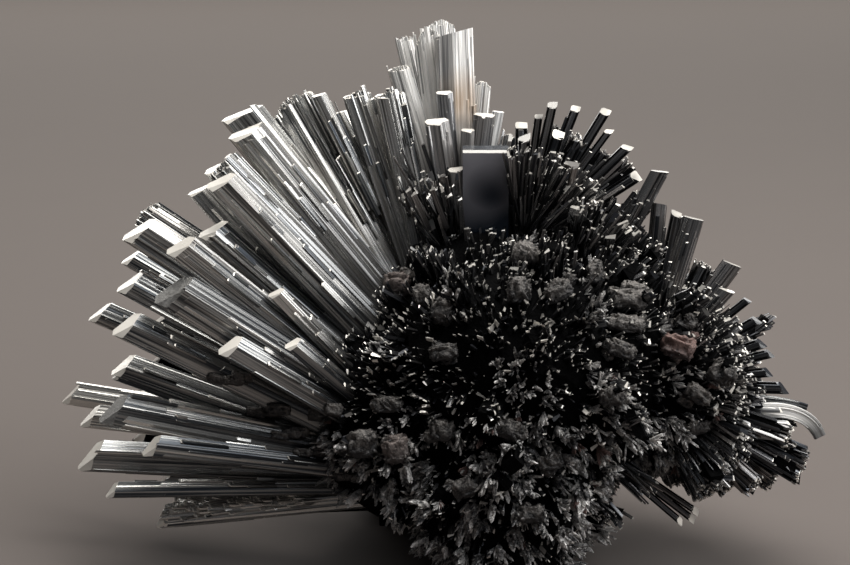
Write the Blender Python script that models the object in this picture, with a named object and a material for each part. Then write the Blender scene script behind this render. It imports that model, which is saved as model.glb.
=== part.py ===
"""Stibnite crystal spray: a dark crust of small crystals with a fan, a crown and a burst of long blades.

Metres, +Z up. The spray's face looks along -Y and tips back a little, so its crystals are placed in a
frame of their own: right, up the face, and toward the front. Tables hold millimetres and degrees.
"""
import math
import random

import bmesh
import bpy
from mathutils import Matrix, Vector

MM = 0.001
GAP = 0.35          # clearance between crystals that meet, mm
FACE_TILT = 16      # how far the face of the spray tips back, degrees
CENTRE_HEIGHT = 43.5   # height of the middle of the face, mm
FULLNESS = 1.5      # how much broader a blade's two flat faces are than a regular hexagon's
TOP_FORWARD = 0.3   # how far a crystal's end face turns toward the front

LEAN_BACK = math.radians(FACE_TILT)
RIGHT = Vector((1, 0, 0))
UP = Vector((0, math.sin(LEAN_BACK), math.cos(LEAN_BACK)))
TOWARD = Vector((0, -math.cos(LEAN_BACK), math.sin(LEAN_BACK)))

# Hearts: where a group's crystals would meet if they ran on inwards (right, up, toward).
FAN_HEART = (2, -20, 0)
CROWN_HEART = (6, -1, -4)
CREST_HEART = (15, 5, 0)
BURST_HEART = (34, -16, 2)
LOW_HEART = (22, -22, 4)
BACK_HEART = (8, -14, -6)

# Lobes of the crust: centre (right, up, toward), radii along X, Y and Z, and how finely it is faceted.
LOBES = (
    ((17, -13, -1), (27, 21, 19), 3),      # main mass
    ((-5, -21, -1), (15, 14, 17), 2),      # under the fan's roots
    ((7, 0, -4), (13, 11, 11), 2),         # under the crown
    ((25, -2, -2), (15, 13, 12), 2),       # under the crest
    ((39, -16, 0), (14, 14, 14), 2),       # burst
    ((12.5, -28, 0), (18.5, 16, 13), 2),   # hip
    ((12.5, -36, -4), (14, 17, 17), 2),    # foot
)

# Heel: a lump behind and left of the foot, without which the cluster would tip over toward its fan.
HEEL = ((-1.5, -31, -24), (11, 12, 11), 2)

# Rough swellings on the crust's front: right, up, half their width and height, turn.
SWELLINGS = (
    (-4.3, -0.4, 2.6, 2.7, 0),
    (-0.3, -2, 1.8, 2.2, 20),
    (2.4, -4.3, 1.9, 2.4, -30),
    (2.8, -10.5, 2.6, 1.6, 10),
    (-5.8, -18.6, 3.0, 1.5, 5),
    (15, 3.9, 2.2, 3.2, -20),
    (14.2, -1.2, 2.3, 2.6, 0),
    (20.2, -1.3, 2.6, 1.8, 30),
    (26, 1.4, 1.5, 2.1, 0),
    (31.1, -2.6, 3.6, 2.1, 0),
    (30.5, -6.2, 3.4, 1.7, -8),
    (40.3, -10.3, 2.8, 2.1, -15),
    (45, -13.6, 2.2, 2.4, -35),
    (29.5, -10, 2.8, 1.6, -20),
    (28, -17, 2.4, 1.7, 0),
    (41.5, -17, 2.6, 1.6, -30),
    (42, -22.3, 2.8, 1.3, 15),
    (40, -6, 2.0, 1.9, -30),
    (-9.5, -24.6, 3.0, 2.6, 0),
    (-4.4, -25.4, 2.6, 2.8, 10),
    (2.7, -22.4, 2.4, 2.1, 0),
    (12.5, -22, 2.6, 2.0, -20),
    (19, -27, 2.4, 1.8, 15),
    (6, -31, 2.6, 2.0, 30),
    (16, -35, 2.6, 1.8, 0),
)
SWELLING_DEPTH = 0.8   # how far they stand out, as a share of their smaller half size

# Fan: rise of the root line above the heart, bearing, lean toward the front, reach, width.
FAN = (
    (-10, 168, 12, 52, 5.4),
    (-6.5, 140.5, 18, 53, 4.8),
    (-7, 147, 20, 50.5, 6.6),
    (-9, 148, 26, 41, 4.2),
    (-10.5, 153, 15, 55, 5.0),
    (-2.5, 146.5, 6, 56, 5.8),
    (0.5, 133.5, 12, 49.5, 5.0),
    (3.5, 134, 4, 50, 6.2),
    (7, 129, 2, 47.5, 6.4),
    (8.5, 129, -6, 50, 7.0),
    (9.5, 120.5, -9, 48, 8.6),
    (-2.5, 138.5, 9, 47, 5.0),
    (-6.5, 151, 4, 55, 5.0),
    (-11, 159.5, 8, 52.5, 4.4),
    (-10, 177, 3, 54.5, 5.2),
    (15.5, 102.5, 0, 36.5, 4.9),
    (11.5, 108.5, -4, 42, 4.6),
    (-11, 172, 17, 46, 3.6),
    (1, 148, -6, 57.5, 6.0),
    (-7.5, 157, -3, 58.5, 4.2),
    (-6.5, 132.5, -2, 56, 4.0),
    (-4, 150, -4, 56.5, 3.8),
    (-7, 174, -2, 55.5, 4.0),
    (-6.5, 172, -12, 61.7, 4.0),
    (-13, 160, -6, 54.5, 3.0),
    (-12, 180, 10, 51, 2.6),
    (-12.5, -174.5, 2, 44.5, 4.0),
    (12, 116.5, -4, 42.5, 2.4),
    (16, 116.5, -12, 36, 2.6),
    (-8, 133, 20, 38.5, 2.6),
    (-9, 138, 28, 33.5, 2.8),
)
FAN_START = 11

# Blades behind the fan, fused to the crust: rise, bearing, lean, reach, width.
FAN_FILL = (
    (-10, 164, -14, 50, 5.5),
    (-8, 155, -13, 52, 5.5),
    (-5, 144, -12, 52, 5.5),
    (3, 138, -13, 47, 5.5),
    (6, 125, -15, 44, 5.5),
    (12, 111, -13, 36, 5.0),
    (-11, 176, -9, 48, 4.5),
    (-13.5, -177, -7, 42, 4.0),
    (-9, 159.5, -15, 50, 5.0),
    (-12, 170, -12, 49, 5.0),
    (-13, 179, -10, 45, 4.5),
)
FILL_START = 11

# Crown: bearing, lean, reach, width.
CROWN = (
    (92, 2, 41, 6.2),
    (97.5, -3, 43, 4.6),
    (94.5, -12, 45.8, 4.6),
    (99, 14, 27.5, 3.9),
    (83, 8, 28, 3.4),
    (106, 0, 38, 3.9),
    (95.5, 8, 31.5, 2.7),
    (103, -10, 43.6, 3.2),
    (88, 10, 25.5, 2.4),
    (84.5, -4, 34.5, 2.9),
    (78.5, -8, 29.5, 2.0),
    (93, 20, 20, 3.0),
)
CROWN_START = 8

# Plate: one broad flat crystal at the crown's foot.
PLATE_HEART = (9.5, -1, -1)
PLATE = (90, 12, 22.5, 7.2)
PLATE_THICKNESS = 2.4

# Crest and burst: heart, bearing, lean, reach, width. These six are thick enough to stand alone.
RIGHT_PRISMS = (
    ((19.5, 3, 0), 78, 22, 17, 2.5),
    ((26, -3, 0), 62, 6, 23.4, 2.8),
    (BURST_HEART, 73, 4, 27, 3.5),
    (BURST_HEART, 53, 0, 23.5, 3.2),
    (BURST_HEART, 84, -4, 28.5, 2.5),
    (BURST_HEART, 48.5, 8, 20, 2.5),
)
RIGHT_START = 5

# Bent crystals: points (right, up, toward) along the middle, with width and thickness.
BENT_LONG = (((46, -21, 3), (53, -20, 3), (57.4, -20.4, 3), (60.4, -21.8, 3), (62, -24.2, 3)), 2.5, 1.6)
BENT_SHORT = (((46, -17.5, -1.5), (54, -18.5, -1.5), (58, -19.1, -1.5), (60.6, -19.8, -1.5)), 1.4, 1.2)

# Needles fused to the crust: heart, bearing, lean, reach, width.
NEEDLES = (
    (CREST_HEART, 82, -2, 21.2, 1.2),
    (CREST_HEART, 77.5, 2, 23.2, 1.4),
    (CREST_HEART, 68.5, -4, 24, 1.4),
    (CREST_HEART, 58.5, 2, 25.4, 1.5),
    (CREST_HEART, 53.5, 6, 23.1, 1.1),
    (CREST_HEART, 44, 0, 23.2, 1.5),
    (CREST_HEART, 32.5, 0, 21.4, 1.8),
    (CREST_HEART, 89, -8, 19.8, 1.8),
    (CREST_HEART, 88, 6, 17.4, 1.8),
    (CREST_HEART, 72, 8, 19, 1.8),
    (CREST_HEART, 62, -13, 21, 2.0),
    (CREST_HEART, 37.5, -8, 22.4, 2.0),
    (CREST_HEART, 97, 2, 16, 2.0),
    (CREST_HEART, 73, -9, 20.5, 2.2),
    (CREST_HEART, 50, -5, 20.5, 2.2),
    (CREST_HEART, 63, 5, 19.5, 2.0),
    ((22, -2, 0), 50, -4, 20, 3.0),
    ((22, -2, 0), 66, -3, 17, 3.0),
    (BURST_HEART, 78.5, 2, 27, 1.6),
    (BURST_HEART, 62, -3, 21, 2.6),
    (BURST_HEART, 38.5, 0, 21, 1.2),
    (BURST_HEART, 29.5, 5, 20.3, 1.5),
    (BURST_HEART, 19.5, 8, 19.5, 1.6),
    (BURST_HEART, 13.5, 0, 20.5, 1.4),
    (BURST_HEART, 6, 10, 19.5, 1.4),
    (BURST_HEART, -1.5, 0, 22, 1.8),
    (BURST_HEART, -13, -6, 25, 2.2),
    (BURST_HEART, -19, 11, 24, 2.2),
    (BURST_HEART, -24.5, 0, 28, 2.6),
    (BURST_HEART, -30, 6, 28, 2.6),
    (BURST_HEART, -36, -2, 25.5, 3.0),
    (BURST_HEART, -42, 9, 23.5, 2.6),
    (BURST_HEART, -50, 2, 21, 3.0),
    (BURST_HEART, -60, 3, 20, 2.8),
    (BURST_HEART, -69, -2, 16.5, 3.0),
    (LOW_HEART, -34, 3, 24, 1.0),
    (LOW_HEART, -37, 0, 24.4, 1.1),
    (LOW_HEART, -40.5, 3, 23, 1.0),
)
NEEDLE_START = -4

# Back blades: bearing, lean (negative, away from the front), reach, width.
BACK = (
    (168, -32, 50, 4.2),
    (146, -26, 52, 4.6),
    (127, -38, 46, 4.0),
    (104, -30, 46, 3.8),
    (84, -42, 38, 3.4),
    (62, -32, 42, 3.4),
    (30, -36, 44, 3.0),
)
BACK_START = 12

# Back crystals fused to the crust: bearing, lean, reach, width.
BACK_FUSED = (
    (178, -20, 37, 3.0),
    (157, -22, 38, 3.4),
    (136, -30, 37, 3.2),
    (116, -24, 37, 3.2),
    (95, -26, 36, 2.6),
    (74, -28, 34, 2.6),
    (50, -32, 34, 2.4),
    (15, -42, 34, 2.4),
    (-8, -34, 38, 2.2),
    (150, -52, 30, 3.2),
    (110, -60, 27, 3.0),
    (70, -62, 26, 2.6),
    (30, -62, 27, 2.6),
    (190, -36, 35, 3.0),
    (0, -72, 25, 2.4),
    (180, -64, 26, 2.6),
)

# Small crystals of the crust: lobe number, how many, how far they stand out, width, flatness.
COATS = (
    (0, 56, (2.5, 5.5), (1.8, 3.2), 0.75),
    (1, 28, (2.0, 4.5), (1.8, 3.4), 0.6),
    (2, 24, (2.0, 4.5), (1.8, 3.0), 0.7),
    (3, 29, (3.0, 6.0), (1.6, 2.8), 0.75),
    (4, 31, (3.0, 6.0), (1.6, 2.8), 0.75),
    (5, 38, (2.0, 4.0), (2.0, 3.8), 0.5),
    (6, 25, (1.5, 3.5), (2.0, 3.6), 0.5),
)
COAT_SEED = 51
FOOT_CLEARANCE = 1.5

LEAD_GREY = (0.23, 0.24, 0.25)
BLUE_BLACK = (0.012, 0.014, 0.02)
DULL_BLACK = (0.02, 0.018, 0.016)


def spot(right, up, toward):
    """A point of the face's frame, in world metres."""
    return (Vector((0, 0, CENTRE_HEIGHT)) + right * RIGHT + up * UP + toward * TOWARD) * MM


def heading(bearing, lean):
    """The direction of a crystal: its bearing in the face's plane and its lean out of that plane."""
    turn, out = math.radians(bearing), math.radians(lean)
    return math.cos(out) * (math.cos(turn) * RIGHT + math.sin(turn) * UP) + math.sin(out) * TOWARD


class Crystal:
    """A straight flattened prism from root to tip, whose end is cut by two facets.

    The top facet turns to the sky, but less so on a crystal that hangs down, or its end would be a sliver.
    """

    def __init__(self, root, tip, width, thickness, sides=6, roll=0.0, slope=0.8):
        self.root, self.tip = root, tip
        self.width, self.thickness = width * MM, thickness * MM
        self.sides, self.roll, self.slope = sides, roll, slope
        self.axis = (tip - root).normalized()

    def frame(self):
        """Axes of the prism: its width lies in the face's plane, its thickness toward the front."""
        helper = TOWARD if abs(self.axis.dot(TOWARD)) < 0.9 else UP
        side = self.axis.cross(helper).normalized()
        front = side.cross(self.axis).normalized()
        return Matrix.Rotation(self.roll, 3, self.axis) @ Matrix((side, front, self.axis)).transposed()

    def mesh(self, margin=0.0):
        """The prism as a bmesh, grown by a margin on every side when it is used as a cutter."""
        grow = margin * MM
        shape = bmesh.new()
        bmesh.ops.create_cone(shape, cap_ends=True, segments=self.sides, radius1=0.5, radius2=0.5, depth=1)
        turn = math.pi / 2 if self.sides == 6 else math.pi / self.sides
        bmesh.ops.rotate(shape, verts=shape.verts, matrix=Matrix.Rotation(turn, 3, "Z"))
        if self.sides == 6:
            for vertex in shape.verts:
                vertex.co.x *= FULLNESS if abs(vertex.co.x) < 0.4 else 1
        half_x = max(v.co.x for v in shape.verts)
        half_y = max(v.co.y for v in shape.verts)
        spare = 1.5 * self.width
        length = (self.tip - self.root).length + spare + grow
        bmesh.ops.scale(shape, verts=shape.verts, vec=(
            (self.width / 2 + grow) / half_x, (self.thickness / 2 + grow) / half_y, length))
        bmesh.ops.translate(shape, verts=shape.verts, vec=(0, 0, length / 2 - grow))
        place = Matrix.Translation(self.root) @ self.frame().to_4x4()
        bmesh.ops.transform(shape, matrix=place, verts=shape.verts)
        front = self.frame().col[1]
        lift = self.slope * min(1.0, 1.0 + self.axis.z)
        top = (self.axis + lift * Vector((0, 0, 1)) + TOP_FORWARD * TOWARD).normalized()
        bevel = (self.axis + 1.2 * front).normalized()
        trim(shape, self.tip + grow * top, top)
        trim(shape, self.tip + 0.3 * self.thickness * front + grow * bevel, bevel)
        return shape


def trim(shape, point, normal):
    """Cut off what lies past a plane and close the cut."""
    geometry = shape.verts[:] + shape.edges[:] + shape.faces[:]
    cut = bmesh.ops.bisect_plane(shape, geom=geometry, plane_co=point, plane_no=normal, clear_outer=True)
    rim = [item for item in cut["geom_cut"] if isinstance(item, bmesh.types.BMEdge)]
    if rim:
        bmesh.ops.contextual_create(shape, geom=rim)
    bmesh.ops.recalc_face_normals(shape, faces=shape.faces)


def distance(one, other):
    """Shortest distance between the middle lines of two crystals."""
    steps = [i / 24 for i in range(25)]
    best = 1.0
    line = other.tip - other.root
    for step in steps:
        point = one.root.lerp(one.tip, step)
        along = max(0.0, min(1.0, (point - other.root).dot(line) / line.length_squared))
        best = min(best, (point - (other.root + along * line)).length)
    return best


def new_collection(name):
    collection = bpy.data.collections.new(name)
    bpy.context.scene.collection.children.link(collection)
    return collection


def new_object(name, shape, collection):
    data = bpy.data.meshes.new(name)
    shape.to_mesh(data)
    shape.free()
    item = bpy.data.objects.new(name, data)
    collection.objects.link(item)
    return item


def new_material(name, colour, roughness, metallic):
    material = bpy.data.materials.new(name)
    material.use_nodes = True
    surface = material.node_tree.nodes["Principled BSDF"]
    surface.inputs["Base Color"].default_value = (*colour, 1)
    surface.inputs["Roughness"].default_value = roughness
    surface.inputs["Metallic"].default_value = metallic
    return material


def joined(shapes):
    """Several bmeshes as one, still overlapping."""
    whole = bmesh.new()
    for shape in shapes:
        data = bpy.data.meshes.new("part of a cutter")
        shape.to_mesh(data)
        shape.free()
        whole.from_mesh(data)
        bpy.data.meshes.remove(data)
    return whole


def combine(item, shapes, operation, workshop):
    """Join shapes to an object or cut them from it, and keep the largest piece."""
    tool = new_object("tool", joined(shapes), workshop)
    tool.hide_render = True
    tool.display_type = "WIRE"
    step = item.modifiers.new(operation, "BOOLEAN")
    step.operation = operation
    step.solver = "EXACT"
    step.use_self = True
    step.object = tool
    depsgraph = bpy.context.evaluated_depsgraph_get()
    done = bpy.data.meshes.new_from_object(item.evaluated_get(depsgraph))
    item.modifiers.clear()
    old, item.data = item.data, done
    bpy.data.meshes.remove(old)
    bpy.data.objects.remove(tool)
    keep_largest(item)


def keep_largest(item):
    """Remove every loose piece except the one of the greatest volume."""
    shape = bmesh.new()
    shape.from_mesh(item.data)
    bmesh.ops.remove_doubles(shape, verts=shape.verts, dist=1e-6)
    bmesh.ops.dissolve_degenerate(shape, edges=shape.edges, dist=1e-6)
    left, pieces = set(shape.verts), []
    while left:
        piece, edge_of_search = set(), [left.pop()]
        while edge_of_search:
            vertex = edge_of_search.pop()
            piece.add(vertex)
            near = [e.other_vert(vertex) for e in vertex.link_edges]
            fresh = [v for v in near if v in left]
            left.difference_update(fresh)
            edge_of_search.extend(fresh)
        pieces.append(piece)
    pieces.sort(key=piece_volume)
    spare = [v for piece in pieces[:-1] for v in piece]
    bmesh.ops.delete(shape, geom=spare, context="VERTS")
    shape.to_mesh(item.data)
    shape.free()


def piece_volume(piece):
    """Volume inside the faces of a loose piece."""
    total = 0.0
    for face in {f for v in piece for f in v.link_faces}:
        corners = [loop.vert.co for loop in face.loops]
        for b, c in zip(corners[1:], corners[2:]):
            total += corners[0].dot(b.cross(c)) / 6
    return total


def from_heart(heart, bearing, lean, reach, width, start, flatness=0.62, sides=6, rise=0.0):
    """A crystal that points away from a heart."""
    middle = spot(heart[0], heart[1] + rise, heart[2])
    way = heading(bearing, lean)
    return Crystal(middle + start * MM * way, middle + reach * MM * way, width, width * flatness, sides)


def plan_blades():
    """Every crystal with a node of its own, the ones in front first."""
    blades = {}
    for number, (rise, bearing, lean, reach, width) in enumerate(FAN, 1):
        blades[f"fan_blade_{number:02d}"] = from_heart(
            FAN_HEART, bearing, lean, reach, width, FAN_START, rise=rise)
    for number, row in enumerate(CROWN, 1):
        blades[f"crown_blade_{number:02d}"] = from_heart(CROWN_HEART, *row, CROWN_START)
    bearing, lean, reach, width = PLATE
    blades["plate_crystal"] = from_heart(
        PLATE_HEART, bearing, lean, reach, width, CROWN_START, PLATE_THICKNESS / width, sides=4)
    for number, row in enumerate(RIGHT_PRISMS, 1):
        blades[f"right_prism_{number:02d}"] = from_heart(*row, RIGHT_START, 0.8)
    for number, row in enumerate(BACK, 1):
        blades[f"back_blade_{number:02d}"] = from_heart(BACK_HEART, *row, BACK_START)
    return blades


def bent_crystal(points, width, thickness, margin=0.0):
    """A crystal that bends near its end: a rectangle carried along a row of points."""
    middle = [spot(*point) for point in points]
    size = Vector((width / 2 + margin, thickness / 2 + margin, 1)) * MM
    frames = []
    for index, centre in enumerate(middle):
        ahead, behind = middle[min(index + 1, len(middle) - 1)], middle[max(index - 1, 0)]
        along = (ahead - behind).normalized()
        side = along.cross(TOWARD).normalized()
        turn = Matrix((side, side.cross(along).normalized(), along)).transposed().to_4x4()
        ends = {0: -margin, len(middle) - 1: margin}
        narrow = 0.8 if index == len(middle) - 1 else 1.0
        place = Matrix.Translation(centre + ends.get(index, 0) * MM * along)
        frames.append(place @ turn @ Matrix.Diagonal((*(narrow * size), 1)))
    shape = bmesh.new()
    bmesh.ops.create_grid(shape, x_segments=1, y_segments=1, size=1, matrix=frames[0])
    faces = shape.faces[:]
    for now, following in zip(frames, frames[1:]):
        grown = bmesh.ops.extrude_face_region(shape, geom=faces)["geom"]
        if now is not frames[0]:
            bmesh.ops.delete(shape, geom=faces, context="FACES_ONLY")
        faces = [item for item in grown if isinstance(item, bmesh.types.BMFace)]
        ring = [item for item in grown if isinstance(item, bmesh.types.BMVert)]
        bmesh.ops.transform(shape, matrix=following @ now.inverted(), verts=ring)
    bmesh.ops.recalc_face_normals(shape, faces=shape.faces)
    return shape


def lobe(centre, radii, detail, rng):
    """A rough lump of the crust."""
    shape = bmesh.new()
    bmesh.ops.create_icosphere(shape, subdivisions=detail, radius=1)
    for vertex in shape.verts:
        vertex.co *= rng.uniform(0.93, 1.0)
    bmesh.ops.scale(shape, verts=shape.verts, vec=[radius * MM for radius in radii])
    bmesh.ops.translate(shape, verts=shape.verts, vec=spot(*centre))
    return shape


def swelling(right, up, half_width, half_height, turn):
    """A rough flattened lump that sits on the crust's front."""
    toward = 24.0
    while toward > -10 and depth_in_lobes(spot(right, up, toward)) > 1:
        toward -= 0.25
    shape = bmesh.new()
    bmesh.ops.create_uvsphere(shape, u_segments=6, v_segments=3, radius=1)
    thickness = SWELLING_DEPTH * min(half_width, half_height)
    bmesh.ops.scale(shape, verts=shape.verts, vec=Vector((half_width, half_height, thickness)) * MM)
    turned = Matrix((RIGHT, UP, TOWARD)).transposed() @ Matrix.Rotation(math.radians(turn), 3, "Z")
    place = Matrix.Translation(spot(right, up, toward)) @ turned.to_4x4()
    bmesh.ops.transform(shape, matrix=place, verts=shape.verts)
    return shape


def depth_in_lobes(point):
    """How far inside the crust's lobes a point is: under 1 is inside."""
    nearest = 9.0
    for centre, radii, _ in LOBES:
        offset = point - spot(*centre)
        nearest = min(nearest, Vector([o / (r * MM) for o, r in zip(offset, radii)]).length)
    return nearest


def coat(rng, blades):
    """The crust's small crystals, spread over its lobes and kept clear of the blades."""
    crystals = []
    golden = math.pi * (3 - math.sqrt(5))
    for number, count, exposure, widths, flatness in COATS:
        centre, radii, _ = LOBES[number]
        middle = spot(*centre)
        for index in range(count):
            height = 1 - 2 * (index + 0.5) / count
            around = index * golden + rng.uniform(-0.25, 0.25)
            flat = math.sqrt(1 - height * height)
            outward = Vector((flat * math.cos(around), flat * math.sin(around), height))
            surface = middle + Vector([o * r * MM for o, r in zip(outward, radii)])
            jitter = Vector([rng.uniform(-0.35, 0.35) for _ in range(3)])
            way = (outward + 0.35 * Vector((0, 0, 1)) * max(0.0, outward.z + 0.4) + jitter).normalized()
            width = rng.uniform(*widths)
            crystal = Crystal(surface - 4 * MM * way, surface + rng.uniform(*exposure) * MM * way,
                              width, width * flatness, sides=4,
                              roll=rng.uniform(0, math.pi), slope=rng.uniform(-0.5, 0.5))
            buried = depth_in_lobes(crystal.tip) < 1.08
            too_low = crystal.tip.z < FOOT_CLEARANCE * MM
            clear = all(distance(crystal, blade) > (blade.width + crystal.width) / 2 + GAP * MM
                        for blade in blades)
            if clear and not buried and not too_low:
                crystals.append(crystal)
    return crystals


def build_crust(blades, bent, workshop, model):
    """The crust: lobes, needles and small crystals in one solid, with a socket for every blade."""
    rng = random.Random(COAT_SEED)
    lumps = [lobe(*row, rng) for row in LOBES]
    needles = [from_heart(*row, NEEDLE_START, 0.8, sides=4) for row in NEEDLES]
    needles += [from_heart(BACK_HEART, *row, BACK_START, sides=4) for row in BACK_FUSED]
    needles += [from_heart(FAN_HEART, bearing, lean, reach, width, FILL_START, sides=4, rise=rise)
                for rise, bearing, lean, reach, width in FAN_FILL]
    small = coat(rng, list(blades.values()) + needles)
    lumps.append(lobe(*HEEL, rng))
    swellings = [swelling(*row) for row in SWELLINGS]
    crust = new_object("crust", lumps[0], model)
    combine(crust, lumps[1:] + swellings + [c.mesh() for c in needles + small], "UNION", workshop)
    sockets = [blade.mesh(GAP) for blade in blades.values()] + bent
    combine(crust, sockets, "DIFFERENCE", workshop)
    shape = bmesh.new()
    shape.from_mesh(crust.data)
    trim(shape, Vector(), Vector((0, 0, -1)))
    shape.to_mesh(crust.data)
    shape.free()
    keep_largest(crust)
    return crust


def stand_at_origin(items):
    """Put the middle of the base at the origin."""
    corners = [vertex.co for item in items for vertex in item.data.vertices]
    low = Vector([min(c[axis] for c in corners) for axis in range(3)])
    high = Vector([max(c[axis] for c in corners) for axis in range(3)])
    shift = Vector((-(low.x + high.x) / 2, -(low.y + high.y) / 2, -low.z))
    for item in items:
        item.data.transform(Matrix.Translation(shift))


def main():
    for item in list(bpy.data.objects):
        bpy.data.objects.remove(item)
    model = new_collection("Stibnite crystal spray")
    workshop = new_collection("Cutters")
    blades = plan_blades()
    placed = []
    items = []
    for name, blade in blades.items():
        item = new_object(name, blade.mesh(), model)
        near = [other for other in placed
                if distance(blade, other) < (blade.width + other.width) / 2 + 2 * GAP * MM]
        if near:
            combine(item, [other.mesh(GAP) for other in near], "DIFFERENCE", workshop)
        placed.append(blade)
        items.append(item)
    items.append(new_object("bent_crystal_long", bent_crystal(*BENT_LONG), model))
    items.append(new_object("bent_crystal_short", bent_crystal(*BENT_SHORT), model))
    bent = [bent_crystal(*BENT_LONG, GAP), bent_crystal(*BENT_SHORT, GAP)]
    items.append(build_crust(blades, bent, workshop, model))
    for item in items:
        dark = item.name == "crust"
        plate = item.name == "plate_crystal"
        colour = DULL_BLACK if dark else BLUE_BLACK if plate else LEAD_GREY
        item.data.materials.clear()
        item.data.materials.append(new_material(item.name, colour, 0.5 if dark else 0.3, 0.6 if dark else 0.9))
    stand_at_origin(items)


main()
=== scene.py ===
# %% [markdown]
# # A stibnite crystal spray
#
# Stibnite is a soft lead-grey sulphide that grows as long flat prisms, grooved along their length and
# cut off by slanting end faces. This specimen is one cluster: a fan of thick blades on the left, a tall
# crown, a crest and a burst of thin needles on the right, all rooted in a dark crust of tiny crystals.
#
# The imported model already has every main crystal as a plain prism in its right place. This lesson dresses
# them: grooves, stepped ends, fine needles, rough lumps, and a metal that is dark where it faces the dark
# and white where it faces the soft light, with end faces painted near white as a painted highlight and
# painted shade among the crystals.

# %% The frame
import math

import bmesh
import bpy
import numpy as np
from mathutils import Matrix, Vector, noise
from mathutils.bvhtree import BVHTree


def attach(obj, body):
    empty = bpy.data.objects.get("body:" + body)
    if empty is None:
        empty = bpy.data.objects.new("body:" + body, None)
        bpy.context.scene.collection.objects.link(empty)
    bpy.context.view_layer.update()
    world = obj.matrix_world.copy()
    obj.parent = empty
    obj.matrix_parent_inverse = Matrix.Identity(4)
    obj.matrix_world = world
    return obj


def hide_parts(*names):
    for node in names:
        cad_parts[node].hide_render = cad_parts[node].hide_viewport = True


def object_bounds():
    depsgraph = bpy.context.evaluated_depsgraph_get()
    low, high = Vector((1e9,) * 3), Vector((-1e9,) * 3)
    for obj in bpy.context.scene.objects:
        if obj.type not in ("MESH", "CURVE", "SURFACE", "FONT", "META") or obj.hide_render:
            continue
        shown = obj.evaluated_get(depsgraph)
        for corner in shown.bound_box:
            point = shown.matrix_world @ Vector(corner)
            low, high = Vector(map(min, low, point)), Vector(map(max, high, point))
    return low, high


MM = 0.001
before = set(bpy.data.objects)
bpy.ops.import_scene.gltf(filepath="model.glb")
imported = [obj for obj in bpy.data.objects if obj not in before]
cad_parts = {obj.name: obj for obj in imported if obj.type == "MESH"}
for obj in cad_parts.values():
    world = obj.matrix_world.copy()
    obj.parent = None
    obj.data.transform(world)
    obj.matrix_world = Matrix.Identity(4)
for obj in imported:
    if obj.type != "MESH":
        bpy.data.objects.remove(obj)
cad_box = [list(corner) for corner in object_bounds()]
print("nodes in the frame:", len(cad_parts))
print("size in mm:", [round((high - low) / MM, 1) for low, high in zip(*cad_box)])

# %% [markdown]
# The spray's face tips back a little, square to the camera, so its crystals are easiest to describe in
# the face's own directions: right, up the face, and toward the front. Every place below is either read
# from a node of the frame or given in these directions, in millimetres from the face's middle. A crystal
# that is listed points away from a heart: a bearing turns it in the face, a lean tips it forward.

# %% The face's directions
FACE_TILT = math.radians(16)
FACE_MIDDLE = Vector((-1.67, -5.48, 43.5)) * MM
RIGHT = Vector((1, 0, 0))
UP = Vector((0, math.sin(FACE_TILT), math.cos(FACE_TILT)))
TOWARD = Vector((0, -math.cos(FACE_TILT), math.sin(FACE_TILT)))
SKY = Vector((0, 0, 1))
EYE = (SKY + 0.7 * TOWARD).normalized()    # the way that small end faces look: up and to the front


def spot(right, up, toward):
    return FACE_MIDDLE + (float(right) * RIGHT + float(up) * UP + float(toward) * TOWARD) * MM


def heading(bearing, lean):
    turn, out = math.radians(bearing), math.radians(lean)
    return math.cos(out) * (math.cos(turn) * RIGHT + math.sin(turn) * UP) + math.sin(out) * TOWARD


def face_coordinates(point):
    offset = (Vector(point) - FACE_MIDDLE) / MM
    return offset.dot(RIGHT), offset.dot(UP), offset.dot(TOWARD)


HEART = spot(6, -14, 0)
FAN_HEART = (2, -20, 0)
CREST = (15, 5, 0)
BURST = (34, -16, 2)
LOW = (22, -22, 4)
BACK = (8, -14, -6)
print("the face leans back", round(math.degrees(FACE_TILT)), "degrees")

# %% [markdown]
# ## Camera
#
# A long lens from a little above keeps the blades' sides parallel. A lens is worked out from what it has
# to take in: 134 mm of the face's width, from 373 mm away.

# %% Camera
CAMERA_DISTANCE = 373 * MM
SEEN_WIDTH = 134.3 * MM
SENSOR_WIDTH = 36


def placed(name, data):
    """A new object that holds this data, in the scene."""
    item = bpy.data.objects.new(name, data)
    bpy.context.scene.collection.objects.link(item)
    return item


view = bpy.data.cameras.new("camera")
view.sensor_width = SENSOR_WIDTH
view.lens = SENSOR_WIDTH * CAMERA_DISTANCE / SEEN_WIDTH
camera = placed("camera", view)
camera.location = FACE_MIDDLE + TOWARD * CAMERA_DISTANCE
camera.rotation_euler = (math.radians(90) - FACE_TILT, 0, 0)
bpy.context.scene.camera = camera
print("lens:", round(view.lens, 1), "mm")

# %% [markdown]
# ## Shader arithmetic
#
# Node trees are easier to read as sums. A small class wraps a socket, so that adding or multiplying two
# of them adds the Math node that does it. Every other node comes from one method that is told the node's
# type, its settings and what goes into its sockets.

# %% Shader helpers


class Value:
    """A number socket that can be added, multiplied and so on."""

    def __init__(self, finish, socket):
        self.finish, self.socket = finish, socket

    def math(self, operation, first, second):
        node = self.finish.node("ShaderNodeMath", {"operation": operation}, {0: first, 1: second})
        return Value(self.finish, node.outputs[0])

    def __add__(self, other):
        return self.math("ADD", self, other)

    def __sub__(self, other):
        return self.math("SUBTRACT", self, other)

    def __rsub__(self, other):
        return self.math("SUBTRACT", other, self)

    def __mul__(self, other):
        return self.math("MULTIPLY", self, other)

    def clamp(self):
        node = self.finish.node("ShaderNodeClamp", {}, {"Value": self})
        return Value(self.finish, node.outputs[0])

    __radd__ = __add__
    __rmul__ = __mul__


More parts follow.
